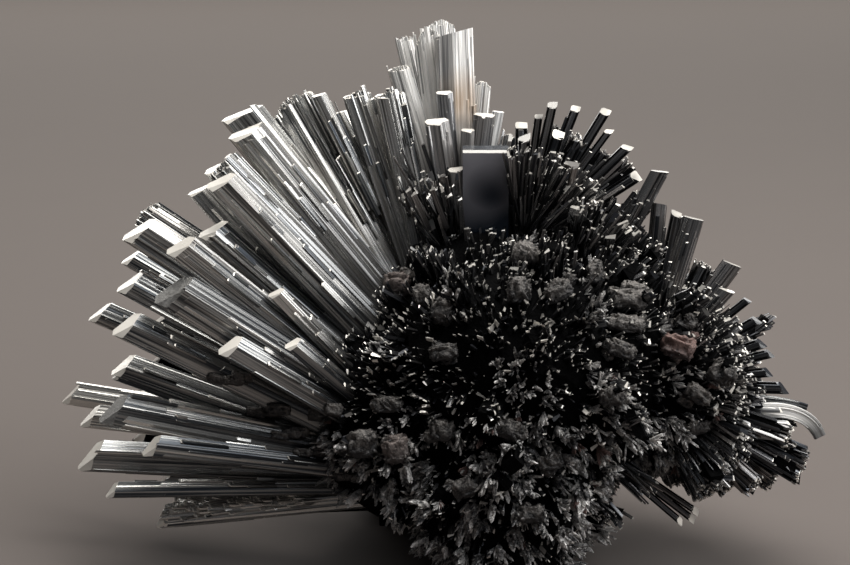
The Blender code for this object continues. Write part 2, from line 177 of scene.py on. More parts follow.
class Finish:
    """A material under construction."""

    def __init__(self, name):
        self.material = bpy.data.materials.new(name)
        self.material.use_nodes = True
        self.tree = self.material.node_tree
        self.surface = self.tree.nodes["Principled BSDF"]
        self.place = self.node("ShaderNodeTexCoord").outputs["Object"]

    def node(self, kind, settings=None, inputs=None):
        node = self.tree.nodes.new(kind)
        for key, setting in (settings or {}).items():
            setattr(node, key, setting)
        for key, given in (inputs or {}).items():
            self.put(node.inputs[key], given)
        return node

    def put(self, socket, given):
        if isinstance(given, Value):
            given = given.socket
        if isinstance(given, bpy.types.NodeSocket):
            self.tree.links.new(given, socket)
        else:
            socket.default_value = given

    def attribute(self, name, output):
        return self.node("ShaderNodeAttribute", {"attribute_name": name}).outputs[output]

    def number(self, name):
        return Value(self, self.attribute(name, "Fac"))

    def noise(self, where, scale, detail=2.0, roughness=0.5):
        node = self.node("ShaderNodeTexNoise", {}, {
            "Vector": where, "Scale": scale, "Detail": detail, "Roughness": roughness})
        return Value(self, node.outputs["Fac"])

    def stretched(self, where, scale):
        node = self.node("ShaderNodeVectorMath", {"operation": "MULTIPLY"}, {0: where, 1: scale})
        return node.outputs[0]

    def nearness(self, centre, radius):
        """One at a centre, falling to nothing at a radius."""
        ends = {0: self.place, 1: tuple(centre)}
        node = self.node("ShaderNodeVectorMath", {"operation": "DISTANCE"}, ends)
        return (1 - Value(self, node.outputs["Value"]) * (1 / radius)).clamp()

    def blend(self, amount, one, other):
        node = self.node("ShaderNodeMix", {"data_type": "RGBA"}, {"Factor": amount, 6: one, 7: other})
        return node.outputs[2]

    def range(self, given, low, high):
        """Nothing at the low value and one at the high value, and never outside these."""
        node = self.node("ShaderNodeMapRange", {}, {"Value": given, "From Min": low, "From Max": high})
        return Value(self, node.outputs[0])

    def bump(self, strength, distance, height):
        return self.node("ShaderNodeBump", {}, {
            "Strength": strength, "Distance": distance, "Height": height}).outputs[0]

    def set(self, **inputs):
        names = {"colour": "Base Color", "roughness": "Roughness", "metallic": "Metallic",
                 "normal": "Normal", "coat": "Coat Weight", "specular": "Specular IOR Level"}
        for key, given in inputs.items():
            self.put(self.surface.inputs[names[key]], given)
        return self.material


def rgb(red, green, blue):
    return (red, green, blue, 1)


print("shader helpers ready")

# %% [markdown]
# ## Stibnite
#
# The metal is one substance everywhere, and four things change its look. Its grooves run along the
# crystal, so the pattern reads an attribute called grain that holds each crystal's own across and along
# places, stretched hard along its length. Its end faces are smoother than its sides, so an attribute called
# tip marks them, and they are painted near white: a painted highlight for the soft light that they catch.
# A thin tarnish turns some crystals brown and some blue-black: tone says which, and on the long blades the
# tone is also lower further down, which darkens them as a painted shade. The fourth attribute says how far
# a place is sunk among the others, where hardly any light comes back out: there the colour is painted
# toward black, a painted shade.

# %% Stibnite
# The near black of painted shade, where a place is sunk among the other crystals.
PAINTED_SHADE_COLOUR = rgb(0.006, 0.007, 0.010)
# The end faces' near white: a painted highlight for the soft light that they reflect.
END_HIGHLIGHT_COLOUR = rgb(0.98, 0.94, 0.87)
# How fast each pattern changes across, out from and along a crystal.
FINE_GROOVES, BROAD_GROOVES, PATCHES = (3800, 3800, 40), (1100, 1100, 20), (160, 160, 60)


def stibnite(name, light, dark, roughness, tarnish=0.15, brown=(0.30, 0.20, 0.11), stain=None,
             metallic=0.95, dull_ends=-0.5, end_marks=(0.80, 0.76, 0.70)):
    """The metal with light and dark grooves and end faces painted near white, a painted highlight; a
    crystal whose tone is under dull_ends has a dark end.
    """
    finish = Finish(name)
    grain = finish.attribute("grain", "Vector")
    tone, tip, painted_shade = finish.number("tone"), finish.number("tip"), finish.number("painted_shade")
    fine = finish.noise(finish.stretched(grain, FINE_GROOVES), 1.0, 3.0)
    broad = finish.noise(finish.stretched(grain, BROAD_GROOVES), 1.0, 2.0)
    patch = finish.noise(finish.stretched(grain, PATCHES), 1.0, 3.0)
    streak = finish.range(fine * 0.6 + broad * 0.4 + tone * 0.06, 0.44, 0.60)
    side = finish.blend(streak, rgb(*dark), rgb(*light))
    worn = finish.range(patch + tone * 0.25, 0.6, 0.8) * tarnish
    if stain:
        worn = (worn + finish.nearness(*stain) * finish.range(broad + patch, 0.6, 0.95)).clamp()
    side = finish.blend(worn, side, rgb(*brown))
    # Low tones darken the sides; on the long blades that is partly painted shade lower down.
    side = finish.blend(finish.range(tone, 0.6, 0.0) * 0.75, side, rgb(*dark))
    # Painted shade: the sides turn near black where the place is sunk among the others.
    side = finish.blend(painted_shade * 0.92, side, PAINTED_SHADE_COLOUR)
    # End faces are painted near white with faint marks, a painted highlight; some crystals have dark ends.
    end = finish.blend(finish.range(patch, 0.40, 0.62), END_HIGHLIGHT_COLOUR, rgb(*end_marks))
    end = finish.blend(finish.range(tone, dull_ends + 0.1, dull_ends - 0.1), end, rgb(*dark))
    # End faces take the painted highlight, a little less under strong painted shade, and are less metallic.
    colour = finish.blend(tip * (1 - painted_shade * 0.25), side, end)
    rough = (streak * -0.08 + roughness) * (1 - tip * 0.25) + worn * 0.25 + patch * 0.06
    ridges = finish.bump(0.5, 0.00007, fine * (1 - tip) + broad * (1 - tip) * 0.6)
    return finish.set(colour=colour, metallic=metallic - tip * 0.6, roughness=rough, normal=ridges)


CROWN_STAIN = (spot(6.6, 28.5, 0), 6.5 * MM)    # its middle and its radius
BLADE = stibnite("stibnite blade", (0.80, 0.80, 0.78), (0.045, 0.053, 0.064), 0.27, metallic=0.75)
# The crown's finish is near white and little metallic: a painted reflection of the soft light on its faces.
CROWN_PAINTED_LIGHT = stibnite("stibnite crown", (0.98, 0.97, 0.95), (0.22, 0.225, 0.235), 0.36, 0.06,
                 (0.37, 0.23, 0.11), CROWN_STAIN, metallic=0.25)
GREY = stibnite("stibnite grey", (0.52, 0.52, 0.53), (0.09, 0.095, 0.105), 0.30, metallic=0.65)
PRISM = stibnite("stibnite prism", (0.33, 0.33, 0.34), (0.035, 0.038, 0.044), 0.26, metallic=0.85,
                 dull_ends=0.3, end_marks=(0.25, 0.24, 0.23))
NEEDLE = stibnite("stibnite needle", (0.37, 0.37, 0.38), (0.018, 0.019, 0.023), 0.28, tarnish=0.08,
                  metallic=0.85, dull_ends=0.3, end_marks=(0.50, 0.48, 0.45))
print("stibnite:", [made.name for made in (BLADE, CROWN_PAINTED_LIGHT, GREY, PRISM, NEEDLE)])

# %% [markdown]
# The crust between the needles is another matter. It is dull and painted nearly black, a painted shade for
# the dark gaps between its small crystals, and its rough lumps are grey-brown, a few of them reddish: there
# tone picks the colour.

# %% Dull crust


def dull(name, dark, light, red, roughness, metallic, specular=0.5):
    """A rough stone, speckled from dark to light, or to red where the tone is near one."""
    finish = Finish(name)
    tone, painted_shade = finish.number("tone"), finish.number("painted_shade")
    lump = finish.noise(finish.place, 900.0, 4.0, 0.65)
    speck = finish.noise(finish.place, 3200.0, 2.0)
    amount = finish.range(lump * 0.5 + speck * 0.35 + tone * 0.15, 0.40, 0.62)
    warm = finish.blend(finish.range(tone, 0.8, 0.95), rgb(*light), rgb(*red))
    colour = finish.blend(amount, rgb(*dark), warm)
    # Painted shade: darker toward black where the place is sunk among the others.
    colour = finish.blend(painted_shade * 0.9, colour, PAINTED_SHADE_COLOUR)
    relief = finish.bump(0.9, 0.0004, lump + speck * 0.3)
    rough = amount * 0.12 + roughness
    return finish.set(colour=colour, metallic=metallic, roughness=rough, normal=relief, specular=specular)


RUST = (0.21, 0.135, 0.12)
# The crust: near black all through, painted shade for the gaps between its small crystals.
CRUST_PAINTED_SHADE = dull("dark crust", (0.001, 0.001, 0.0013), (0.004, 0.004, 0.004), (0.005, 0.004, 0.004),
             0.7, 0.0, specular=0.03)
LUMP = dull("rough lump", (0.013, 0.012, 0.012), (0.23, 0.213, 0.20), RUST, 0.40, 0.3)
LEAF = dull("rough leaf", (0.035, 0.036, 0.040), (0.95, 0.93, 0.91), RUST, 0.30, 0.25)
print("crust:", [made.name for made in (CRUST_PAINTED_SHADE, LUMP, LEAF)])

# %% [markdown]
# One crystal stands out of the crown's foot, a broad plate that is as smooth as glass. Its plain node has
# the right shape already, so it stays and only gets this finish: dark blue-grey, with a painted reflection
# that lightens it toward its upper left corner and a patch of painted shade in its middle, and an end face
# painted as bright as the others, a painted highlight. The end face is the one that looks partly up; a face
# that looks straight up is painted dark grey, a painted shade.

# %% Smooth plate
# A painted reflection lightens the plate toward this corner, out to this radius; painted shade darkens a
# patch this wide around this middle.
PLATE_REFLECTION_CORNER, PLATE_REFLECTION_FADE = spot(6.5, 21.5, 6), 14 * MM
PLATE_SHADE, SHADE_WIDTH = spot(10, 14.5, 6), 4.5 * MM


def smooth_plate():
    finish = Finish("smooth plate")
    geometry = finish.node("ShaderNodeNewGeometry")
    normal = finish.node("ShaderNodeSeparateXYZ", {}, {"Vector": geometry.outputs["Normal"]})
    up = Value(finish, normal.outputs["Z"])
    # By how a face looks: partly up, a painted highlight; straight up, a painted shade.
    end, top = finish.range(up, 0.50, 0.60), finish.range(up, 0.80, 0.90)
    cloud = finish.noise(finish.place, 160.0, 1.0)
    shade = finish.nearness(PLATE_SHADE, SHADE_WIDTH) * 0.8
    # The painted reflection: lighter toward the corner, clouded, and less in the painted shade patch.
    near = finish.nearness(PLATE_REFLECTION_CORNER, PLATE_REFLECTION_FADE) + cloud * 0.25 - 0.12 - shade
    body = finish.blend(near.clamp(), rgb(0.010, 0.017, 0.029), rgb(0.50, 0.50, 0.56))
    colour = finish.blend(end, body, rgb(0.50, 0.49, 0.47))
    colour = finish.blend(top, colour, rgb(0.07, 0.075, 0.085))
    return finish.set(colour=colour, metallic=0.6 - end * 0.4, roughness=cloud * 0.1 + 0.2)


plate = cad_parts["plate_crystal"].data
plate.materials.clear()
plate.materials.append(smooth_plate())
print("plate finished:", len(plate.polygons), "triangles")

# %% [markdown]
# ## Crystals by the thousand
#
# A small crystal is shaped once with bmesh operators, one unit wide. A pattern keeps, for each corner, how
# far along the crystal it is and how far below the tip, so that one pattern serves a stubby crystal and a
# long one without stretching the end faces. A heap then places thousands of copies as arrays and makes
# them one mesh, with the attributes that the finishes read.

# %% Crystal patterns
PATTERN_LENGTH = 6    # from a pattern's tip down to its foot, in widths


def cut(shape, point, normal):
    """Remove what lies past a plane, and close the cut."""
    geometry = shape.verts[:] + shape.edges[:] + shape.faces[:]
    done = bmesh.ops.bisect_plane(shape, geom=geometry, plane_co=point, plane_no=normal, clear_outer=True)
    rim = [item for item in done["geom_cut"] if isinstance(item, bmesh.types.BMEdge)]
    if rim:
        bmesh.ops.contextual_create(shape, geom=rim)
    bmesh.ops.recalc_face_normals(shape, faces=shape.faces)


def corners_and_faces(shape):
    """A shape as two arrays: its corners, and the corner numbers of its triangles."""
    bmesh.ops.triangulate(shape, faces=shape.faces)
    shape.verts.index_update()
    corners = np.array([vertex.co for vertex in shape.verts])
    return corners, np.array([[vertex.index for vertex in face.verts] for face in shape.faces])


class Pattern:
    """A small crystal's corners, as a place across, a share of its length and a drop below its tip."""

    def __init__(self, shape, stretched):
        corners, faces = corners_and_faces(shape)
        shape.free()
        # A sphere's faces come in a new order each run, and sorting them keeps the result the same.
        self.faces = np.array(sorted(min(np.roll(face, n).tolist() for n in range(3)) for face in faces))
        self.across, height = corners[:, :2], corners[:, 2]
        above_foot = height > 0.1 - PATTERN_LENGTH
        self.share = height if stretched else above_foot.astype(float)
        self.drop = np.zeros(len(height)) if stretched else np.where(above_foot, height, 0.0)
        at_end = height[self.faces].min(axis=1) > -PATTERN_LENGTH / 2
        self.tip = at_end.astype(float) * (not stretched)


def prism_pattern(planes, waist=1.0, foot=1.0):
    """A four-sided prism whose far end is cut by slanting planes."""
    shape = bmesh.new()
    bmesh.ops.create_cone(shape, cap_ends=True, segments=4, radius1=0.5 * foot, radius2=0.5 * waist,
                          depth=PATTERN_LENGTH)
    bmesh.ops.rotate(shape, verts=shape.verts, matrix=Matrix.Rotation(math.pi / 4, 3, "Z"))
    bmesh.ops.translate(shape, verts=shape.verts, vec=(0, 0, -PATTERN_LENGTH / 2))
    for depth, normal in planes:
        cut(shape, Vector((0, 0, -depth)), Vector(normal).normalized())
    return Pattern(shape, False)


def petal_pattern():
    """A lens that is widest in its middle, stretched to any length."""
    shape = bmesh.new()
    bmesh.ops.create_uvsphere(shape, u_segments=5, v_segments=4, radius=0.5)
    for vertex in shape.verts:
        vertex.co.xy *= 1.1 + 0.3 * noise.noise(vertex.co * 5)
    bmesh.ops.translate(shape, verts=shape.verts, vec=(0, 0, 0.5))
    return Pattern(shape, True)


TABLET = prism_pattern([(0.0, (0.1, 0.8, 1)), (0.15, (0.6, -1.1, 1))])
SPLINTER = prism_pattern([(0.0, (0.5, 0.9, 1))], waist=0.8)
LANCE = prism_pattern([(1.0, (0.3, 2.0, 1))], waist=0.9)
JAGGED = prism_pattern([(0.0, (1.1, 0.3, 1)), (0.25, (-1.4, 0.5, 1))], waist=0.9, foot=0.7)
PETAL = petal_pattern()
print("triangles in a pattern:", [len(p.faces) for p in (TABLET, SPLINTER, LANCE, JAGGED, PETAL)])

# %% A heap of crystals
# Places that little light reaches get painted shade: the middle, black within one distance, in the light
# beyond the other.
PAINTED_SHADE_PLACES = ((HEART, 16 * MM, 34 * MM), (spot(-12, -22, 4), 8 * MM, 20 * MM))
PAINTED_SHADE_FALL = 1.2       # above one, the dark gives way a little sooner
GRAIN_SHIFT = 7.0     # times a crystal's place, so that no two crystals have the same pattern


def painted_shade_of(corners):
    """How much painted shade each corner gets: one in the middle of a shaded place, nothing in the light.
    """
    painted_shade = np.zeros(len(corners))
    for middle, black_within, light_beyond in PAINTED_SHADE_PLACES:
        away = np.linalg.norm(corners - np.array(middle), axis=1)
        share = np.clip((light_beyond - away) / (light_beyond - black_within), 0, 1)
        painted_shade = np.maximum(painted_shade, share ** PAINTED_SHADE_FALL)
    return painted_shade


class Heap:
    """Collects crystals and makes them one mesh with the grain, tip, tone and painted shade attributes."""

    def __init__(self):
        self.corners, self.faces, self.grain = [], [], []
        self.tip, self.tone, self.painted_shade = [], [], []
        self.count = 0

    def add(self, pattern, foot, tip, width, thickness, tone, up=EYE, roll=0.0, shade=(1.0, 0.0),
            share=1.0):
        """One small crystal. shade is painted shade on its foot and its tip, and share is how much painted
        shade its place gives it.
        """
        axis = tip - foot
        length = axis.length
        axis = axis / length
        front = up - axis * up.dot(axis)
        front = front.normalized() if front.length > 0.05 else axis.orthogonal().normalized()
        front = Matrix.Rotation(roll, 3, axis) @ front
        side = front.cross(axis)
        along = pattern.share * length + pattern.drop * width
        across = pattern.across * (width, thickness)
        corners = (np.array(foot) + across[:, :1] * np.array(side) + across[:, 1:] * np.array(front)
                   + along[:, None] * np.array(axis))
        local = np.column_stack((across, along)) + np.array(foot) * GRAIN_SHIFT
        own = shade[0] + (shade[1] - shade[0]) * pattern.share
        painted_shade = np.maximum(own, share * painted_shade_of(corners))
        self.store(corners, pattern.faces, local, pattern.tip, tone, painted_shade)

    def store(self, corners, faces, local, tip, tone, painted_shade):
        self.corners.append(corners)
        self.faces.append(faces + self.count)
        self.grain.append(local)
        self.tip.append(tip)
        self.tone.append(np.full(len(corners), tone))
        self.painted_shade.append(painted_shade)
        self.count += len(corners)

    def make(self, name, material, slot="crust", replaced=(), smooth=False):
        mesh = bpy.data.meshes.new(name)
        corners, faces = np.concatenate(self.corners), np.concatenate(self.faces)
        mesh.vertices.add(len(corners))
        mesh.vertices.foreach_set("co", corners.ravel())
        mesh.loops.add(faces.size)
        mesh.loops.foreach_set("vertex_index", faces.ravel().astype(np.int32))
        mesh.polygons.add(len(faces))
        mesh.polygons.foreach_set("loop_start", np.arange(0, faces.size, 3, dtype=np.int32))
        for title, kind, domain, field, rows in (
                ("grain", "FLOAT_VECTOR", "POINT", "vector", self.grain),
                ("tone", "FLOAT", "POINT", "value", self.tone),
                ("painted_shade", "FLOAT", "POINT", "value", self.painted_shade),
                ("tip", "FLOAT", "FACE", "value", self.tip)):
            mesh.attributes.new(title, kind, domain).data.foreach_set(field, np.concatenate(rows).ravel())
        mesh.update(calc_edges=True)
        mesh.validate()
        if not smooth:
            mesh.shade_flat()
        mesh.materials.append(material)
        piece = placed(name, mesh)
        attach(piece, "root")
        if replaced:
            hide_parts(*replaced)
        print(f"{name}: {len(faces)} triangles")


# %% [markdown]
# ## Long blades
#
# A blade's section is a flat six-sided outline with a ridge along its front, so that its upper face looks
# at the light and its lower one doesn't. A cone operator with many sides and no taper gives its corners.
# They are spread along that outline and pushed in a little, each by its own amount, which makes grooves
# that run the whole length. Two slanting planes cut the end.

# %% A crystal's place and section
END_SLOPE = 0.8      # how far an end face turns to the sky
END_FORWARD = 0.3    # how far it turns toward the front
BEVEL_SLOPE = 1.2    # the second face of an end falls this steeply toward the front
BEVEL_FROM = 0.3     # and starts this share of the thickness in front of the middle
BEVEL = Vector((0, BEVEL_SLOPE, 1)).normalized()
# Ends that are seen nearly edge-on, as a thin bright line: how far they turn to the front, to the right.
EDGE_ON = {"crown_blade_01": (-0.10, -0.45), "right_prism_02": (-0.05, -0.3),
           "right_prism_03": (-0.05, 0.1), "right_prism_04": (0.0, 0.0),
           "right_prism_05": (-0.10, 0.2), "right_prism_06": (0.0, -0.2)}
# The crystal that shows a broad flat face instead of a ridge.
FLAT_FRONTED = "crown_blade_02"
# An outline's corners in order, as shares of the width and the thickness. Each ridge has its own place.
RIDGED = ((0.5, 0.04), (None, 0.5), (-0.42, 0.36), (-0.5, -0.08), (-0.37, -0.5), (0.38, -0.5))
FLAT = ((0.55, -0.55), (0.55, 0.3), (0.3, 0.55), (-0.3, 0.55), (-0.55, 0.3), (-0.55, -0.55))
USUAL_RIDGE = 0.1
LONG_EDGE = 0.4      # edges this share of the longest, and parallel to it, run along the crystal
PARALLEL = 0.999
OUTER_SHARE = 0.4    # the corners in this outer share of a crystal are those of its end


class Prism:
    """A straight crystal: its foot, the middle of its end face, its size and its own directions."""

    flat_front = False

    def __init__(self, foot, tip, width, thickness, forward=END_FORWARD, aside=0.0):
        self.width, self.thickness = width, thickness
        self.bevelled = forward > 0
        self.length = (tip - foot).length
        self.axis = (tip - foot).normalized()
        helper = TOWARD if abs(self.axis.dot(TOWARD)) < 0.9 else UP
        self.side = self.axis.cross(helper).normalized()
        self.front = self.side.cross(self.axis).normalized()
        turn = Matrix((self.side, self.front, self.axis)).transposed()
        self.place = Matrix.Translation(foot) @ turn.to_4x4()
        lift = END_SLOPE * min(1.0, 1.0 + self.axis.z)
        end = self.axis + lift * SKY + forward * TOWARD + aside * RIGHT
        self.end = turn.transposed() @ end.normalized()

    def at(self, side, front, along):
        return self.place @ Vector((side, front, along))

    def corners(self, ridge):
        """The outline, turned so that its ridge is on the side that looks up; a needle's has none."""
        shares = [(ridge if x is None else x, y) for x, y in RIDGED]
        if ridge is None or self.flat_front:
            shares = FLAT
        if self.side.dot(SKY) < -0.05:
            shares = [(-x, y) for x, y in reversed(shares)]
        return np.array(shares) * (self.width, self.thickness)

    def ring(self, ridge, count):
        """Points spread evenly along the outline."""
        corners = self.corners(ridge)
        closed = np.vstack((corners, corners[:1]))
        along = np.concatenate(([0], np.cumsum(np.linalg.norm(np.diff(closed, axis=0), axis=1))))
        steps = np.linspace(0, along[-1], count, endpoint=False)
        return np.column_stack([np.interp(steps, along, closed[:, axis]) for axis in range(2)])

    def end_rise(self):
        """How far the end's highest corner is above its middle."""
        rise = []
        for x, y in self.corners(USUAL_RIDGE):
            slant = -(self.end.x * x + self.end.y * y) / self.end.z
            fall = -BEVEL_SLOPE * (y - BEVEL_FROM * self.thickness)
            rise.append(min(slant, fall) if self.bevelled else slant)
        return max(rise)


def measured(name):
    """The prism that a node holds: its axis is the direction of its longest edges."""
    shape = bmesh.new()
    shape.from_mesh(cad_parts[name].data)
    bmesh.ops.remove_doubles(shape, verts=shape.verts, dist=1e-6)
    bmesh.ops.dissolve_limit(shape, angle_limit=math.radians(1), verts=shape.verts, edges=shape.edges)
    runs = [edge.verts[1].co - edge.verts[0].co for edge in shape.edges]
    longest = max(runs, key=lambda run: run.length)
    total = Vector()
    for run in runs:
        parallel = abs(run.normalized().dot(longest.normalized())) > PARALLEL
        if parallel and run.length > LONG_EDGE * longest.length:
            total += run if run.dot(longest) > 0 else -run
    points = [vertex.co.copy() for vertex in shape.verts]
    shape.free()
    axis = total.normalized()
    middle = sum(points, Vector()) / len(points)
    if axis.dot(middle - HEART) < 0:
        axis = -axis
    guide = Prism(middle, middle + axis * MM, MM, MM)
    along = [point.dot(axis) for point in points]
    low, high = min(along), max(along)
    near_tip = [point for point, a in zip(points, along) if a > high - OUTER_SHARE * (high - low)]
    across = [point.dot(guide.side) for point in near_tip]
    out = [point.dot(guide.front) for point in near_tip]
    line = guide.side * (max(across) + min(across)) / 2 + guide.front * (max(out) + min(out)) / 2
    size = (max(across) - min(across), max(out) - min(out), *EDGE_ON.get(name, (END_FORWARD, 0.0)))
    prism = Prism(line + axis * low, line + axis * high, *size)
    prism = Prism(line + axis * low, line + axis * (high - prism.end_rise()), *size)
    prism.flat_front = name == FLAT_FRONTED
    return prism


def planned(heart, bearing, lean, start, reach, width, flatness=0.62):
    """A prism that points away from a heart, from one distance to another, all in mm."""
    way = heading(bearing, lean)
    middle = spot(*heart)
    return Prism(middle + start * MM * way, middle + reach * MM * way, width * MM, width * flatness * MM)


FINISHES = {"fan": (BLADE, "blade"), "crown": (CROWN_PAINTED_LIGHT, "crown"), "right": (PRISM, "prism"),
            "back": (BLADE, "blade")}
prisms = {name: measured(name) for name in sorted(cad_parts) if name.startswith(tuple(FINISHES))}
print("blades measured:", len(prisms))
print("widest:", round(max(prism.width for prism in prisms.values()) / MM, 1), "mm")

# %% [markdown]
# A real blade is a bundle of parallel crystals that stopped growing at different heights, so thin strips
# are laid along its faces, each with an end of its own. The finest blades end in a sheaf of loose fibres:
# those are splinters from the heap, with their ends on a rounded line.

# %% Growing a blade
GROOVES = 60            # points round a blade's outline
GROOVE_DEPTH = 0.02     # how far the deepest is pushed in, as a share of the width
ROUNDED_FROM = 0.2      # an end rounder than this is cut by four more planes, which slope like these
ROUNDING_SLOPES = (-2.6, -1.2, 1.2, 2.6)
SAME_WAY = 0.985        # the cosine within which a face belongs to an end
FIBRE_WIDTHS = (0.18, 0.45)
rng = np.random.default_rng(seed=7)
print("points round a blade:", GROOVES)


def add_shape(heap, shape, place, tone, end_normals):
    """Put a finished shape in a heap. A prism's own directions are left-handed, so its faces are turned."""
    local, faces = corners_and_faces(shape)
    tip = [float(max(face.normal.dot(end) for end in end_normals) > SAME_WAY) for face in shape.faces]
    shape.free()
    start = np.array(place.translation)
    corners = local @ np.array(place.to_3x3()).T + start
    heap.store(corners, faces[:, ::-1], local + start * GRAIN_SHIFT, np.array(tip), tone, painted_shade_of(corners))


def grooved_body(heap, prism, tone, ring, depth, short, rounding=0.0):
    """The blade itself: the outline's points pushed in by steps, and an end cut by two planes or more."""
    count = len(ring)
    body = bmesh.new()
    bmesh.ops.create_cone(body, cap_ends=True, segments=count, radius1=1, radius2=1, depth=1)
    broad = np.repeat(rng.uniform(0, 1, count // 3 + 1), 3)[:count]
    steps = 0.5 * broad + 0.5 * rng.uniform(0, 1, count) ** 2
    for vertex in body.verts:
        number = round(math.atan2(vertex.co.y, vertex.co.x) / (2 * math.pi) * count) % count
        vertex.co.xy = ring[number] * (1 - 2 * depth * steps[number])
        vertex.co.z = prism.length + prism.width if vertex.co.z > 0 else 0
    tip = prism.length - short
    cut(body, Vector((0, 0, tip)), prism.end)
    if prism.bevelled:
        cut(body, Vector((0, BEVEL_FROM * prism.thickness, tip)), BEVEL)
    for slope in ROUNDING_SLOPES if rounding > ROUNDED_FROM else ():
        height = tip + 0.12 * abs(slope) * rounding * prism.width
        cut(body, Vector((0, 0, height)), Vector((slope * rounding, 0, 1)))
    add_shape(heap, body, prism.place, tone, (prism.end, BEVEL))


def strip(heap, prism, tone, centre, turn, wide, thick, end):
    """A thin crystal along a blade's face."""
    shape = bmesh.new()
    bmesh.ops.create_cone(shape, cap_ends=True, segments=6, radius1=0.5, radius2=0.5, depth=1)
    long = end + prism.width
    bmesh.ops.scale(shape, verts=shape.verts, vec=(wide, thick, long))
    bmesh.ops.rotate(shape, verts=shape.verts, matrix=Matrix.Rotation(turn, 3, "Z"))
    bmesh.ops.translate(shape, verts=shape.verts, vec=(*centre, long / 2))
    normal = (prism.end + Vector(rng.uniform(-0.2, 0.2, 3))).normalized()
    cut(shape, Vector((*centre, end)), normal)
    add_shape(heap, shape, prism.place, tone, (normal,))


def grow(heap, prism, strips=14, short=0.0, rounding=0.0, pale=0.0):
    """A striated blade with a chisel end, stepped by strips of its own; the lower ones are darker, a
    painted shade.
    """
    height = face_coordinates(prism.at(0, 0, prism.length))[1]
    # The tone falls further down the face: painted shade on the lower blades.
    tone = min(max(0.35 + 0.025 * height, 0.0), 0.6) + rng.uniform(0, 0.4) + pale
    ring = prism.ring(rng.uniform(-0.12, 0.25), GROOVES)
    grooved_body(heap, prism, tone, ring, GROOVE_DEPTH, short, rounding)
    for _ in range(strips):
        number = rng.integers(GROOVES)
        ahead = ring[(number + 1) % GROOVES] - ring[number - 1]
        wide = min(prism.width * rng.uniform(0.06, 0.26), 1.6 * MM)
        thick = wide * rng.uniform(0.25, 0.6)
        end = prism.length * (0.99 - 0.6 * rng.uniform(0, 1) ** 2)
        # Strips on the lowest blades get a much lighter tone: painted highlights, flecks that catch the
        # light.
        own = tone + rng.uniform(-0.3, 1.6 if height < -15 else 0.3)
        strip(heap, prism, own, ring[number] * (1 - 0.45 * thick / prism.thickness),
              math.atan2(ahead[1], ahead[0]), wide, thick, end)


def twigs(heap, prism, count, pale=0.0, splay=0.0):
    """Small crystals along a blade's front and upper faces; splay turns them away from the blade."""
    turned = prism.place.to_3x3()
    ring = prism.ring(USUAL_RIDGE, GROOVES)
    seen = [place for place in ring if (turned @ Vector((*place, 0))).dot(EYE) > 0.15 * prism.thickness]
    foot, outer = 1 - 2 * splay, 1.06 + splay
    for _ in range(count):
        x, y = seen[rng.integers(len(seen))]
        end = prism.length * rng.uniform(0.3, 0.93)
        wide = rng.uniform(0.35, 1.1) * MM
        heap.add(TABLET, prism.at(x * foot, y * foot, end - rng.uniform(2, 9) * MM),
                 prism.at(x * outer, y * outer, end), wide, wide * rng.uniform(0.35, 0.7),
                 rng.uniform() + pale, roll=rng.normal(0, 0.3), shade=(0.6, 0.0))


def fibres(heap, prism, count, rounding, spread=1.0):
    """Loose splinters over a blade's outer part, with their ends on a rounded line; spread opens them."""
    ring = prism.ring(USUAL_RIDGE, GROOVES)
    for _ in range(count):
        x, y = ring[rng.integers(GROOVES)] * math.sqrt(rng.uniform(0.05, 1.0))
        fall = rounding * (2 * x / prism.width) ** 2 * prism.width
        end = prism.length - fall - (1.0 + rng.exponential(0.35)) * MM
        foot = end - prism.length * rng.uniform(0.2, 0.55)
        wide = rng.uniform(*FIBRE_WIDTHS) * MM
        heap.add(SPLINTER, prism.at(x, y, foot), prism.at(x * spread, y, end), wide, wide * 0.7,
                 rng.uniform(0.3, 1), roll=rng.uniform(0, math.pi), shade=(0.2, 0.0))


# %% The fan, the crown, the prisms and the back
# Blades that end in a sheaf: how many fibres, how round the sheaf's end is, how far it opens.
SHEAVES = {"fan_blade_08": (220, 0.05), "fan_blade_11": (700, 0.45, 1.35), "fan_blade_16": (220, 0.1),
           "fan_blade_17": (220, 0.1), "fan_blade_19": (420, 0.25, 1.15), "fan_blade_27": (90, 0.2),
           "crown_blade_02": (420, 0.5), "crown_blade_03": (300, 0.22), "crown_blade_06": (160, 0.1),
           "crown_blade_08": (160, 0.1), "crown_blade_10": (140, 0.3)}
SHEAF_SHORT, BLADE_SHORT = 1.5 * MM, 0.05 * MM    # how much shorter than its plain prism a body is
# Twigs on a fan blade: how many, and how far they turn away. One blade is all but hidden by them.
USUAL_TWIGS = (9, 0.0)
TUFTED = {"fan_blade_27": (150, 0.3)}
# Blades that are lighter or darker than their neighbours, and how bright the dull ends are. On
# crown_blade_02 and fan_blade_09 the lightening is a painted reflection, and on fan_blade_27, low down
# where little light reaches, it is painted light.
PALER_AND_PAINTED_LIGHT = {"crown_blade_02": 4.0, "fan_blade_24": 1.5, "fan_blade_23": 0.6, "fan_blade_06": -0.3,
         "fan_blade_09": 0.5, "fan_blade_27": 0.8}
DULL_END = {"fan_blade_03": 0.25, "fan_blade_01": 0.3}
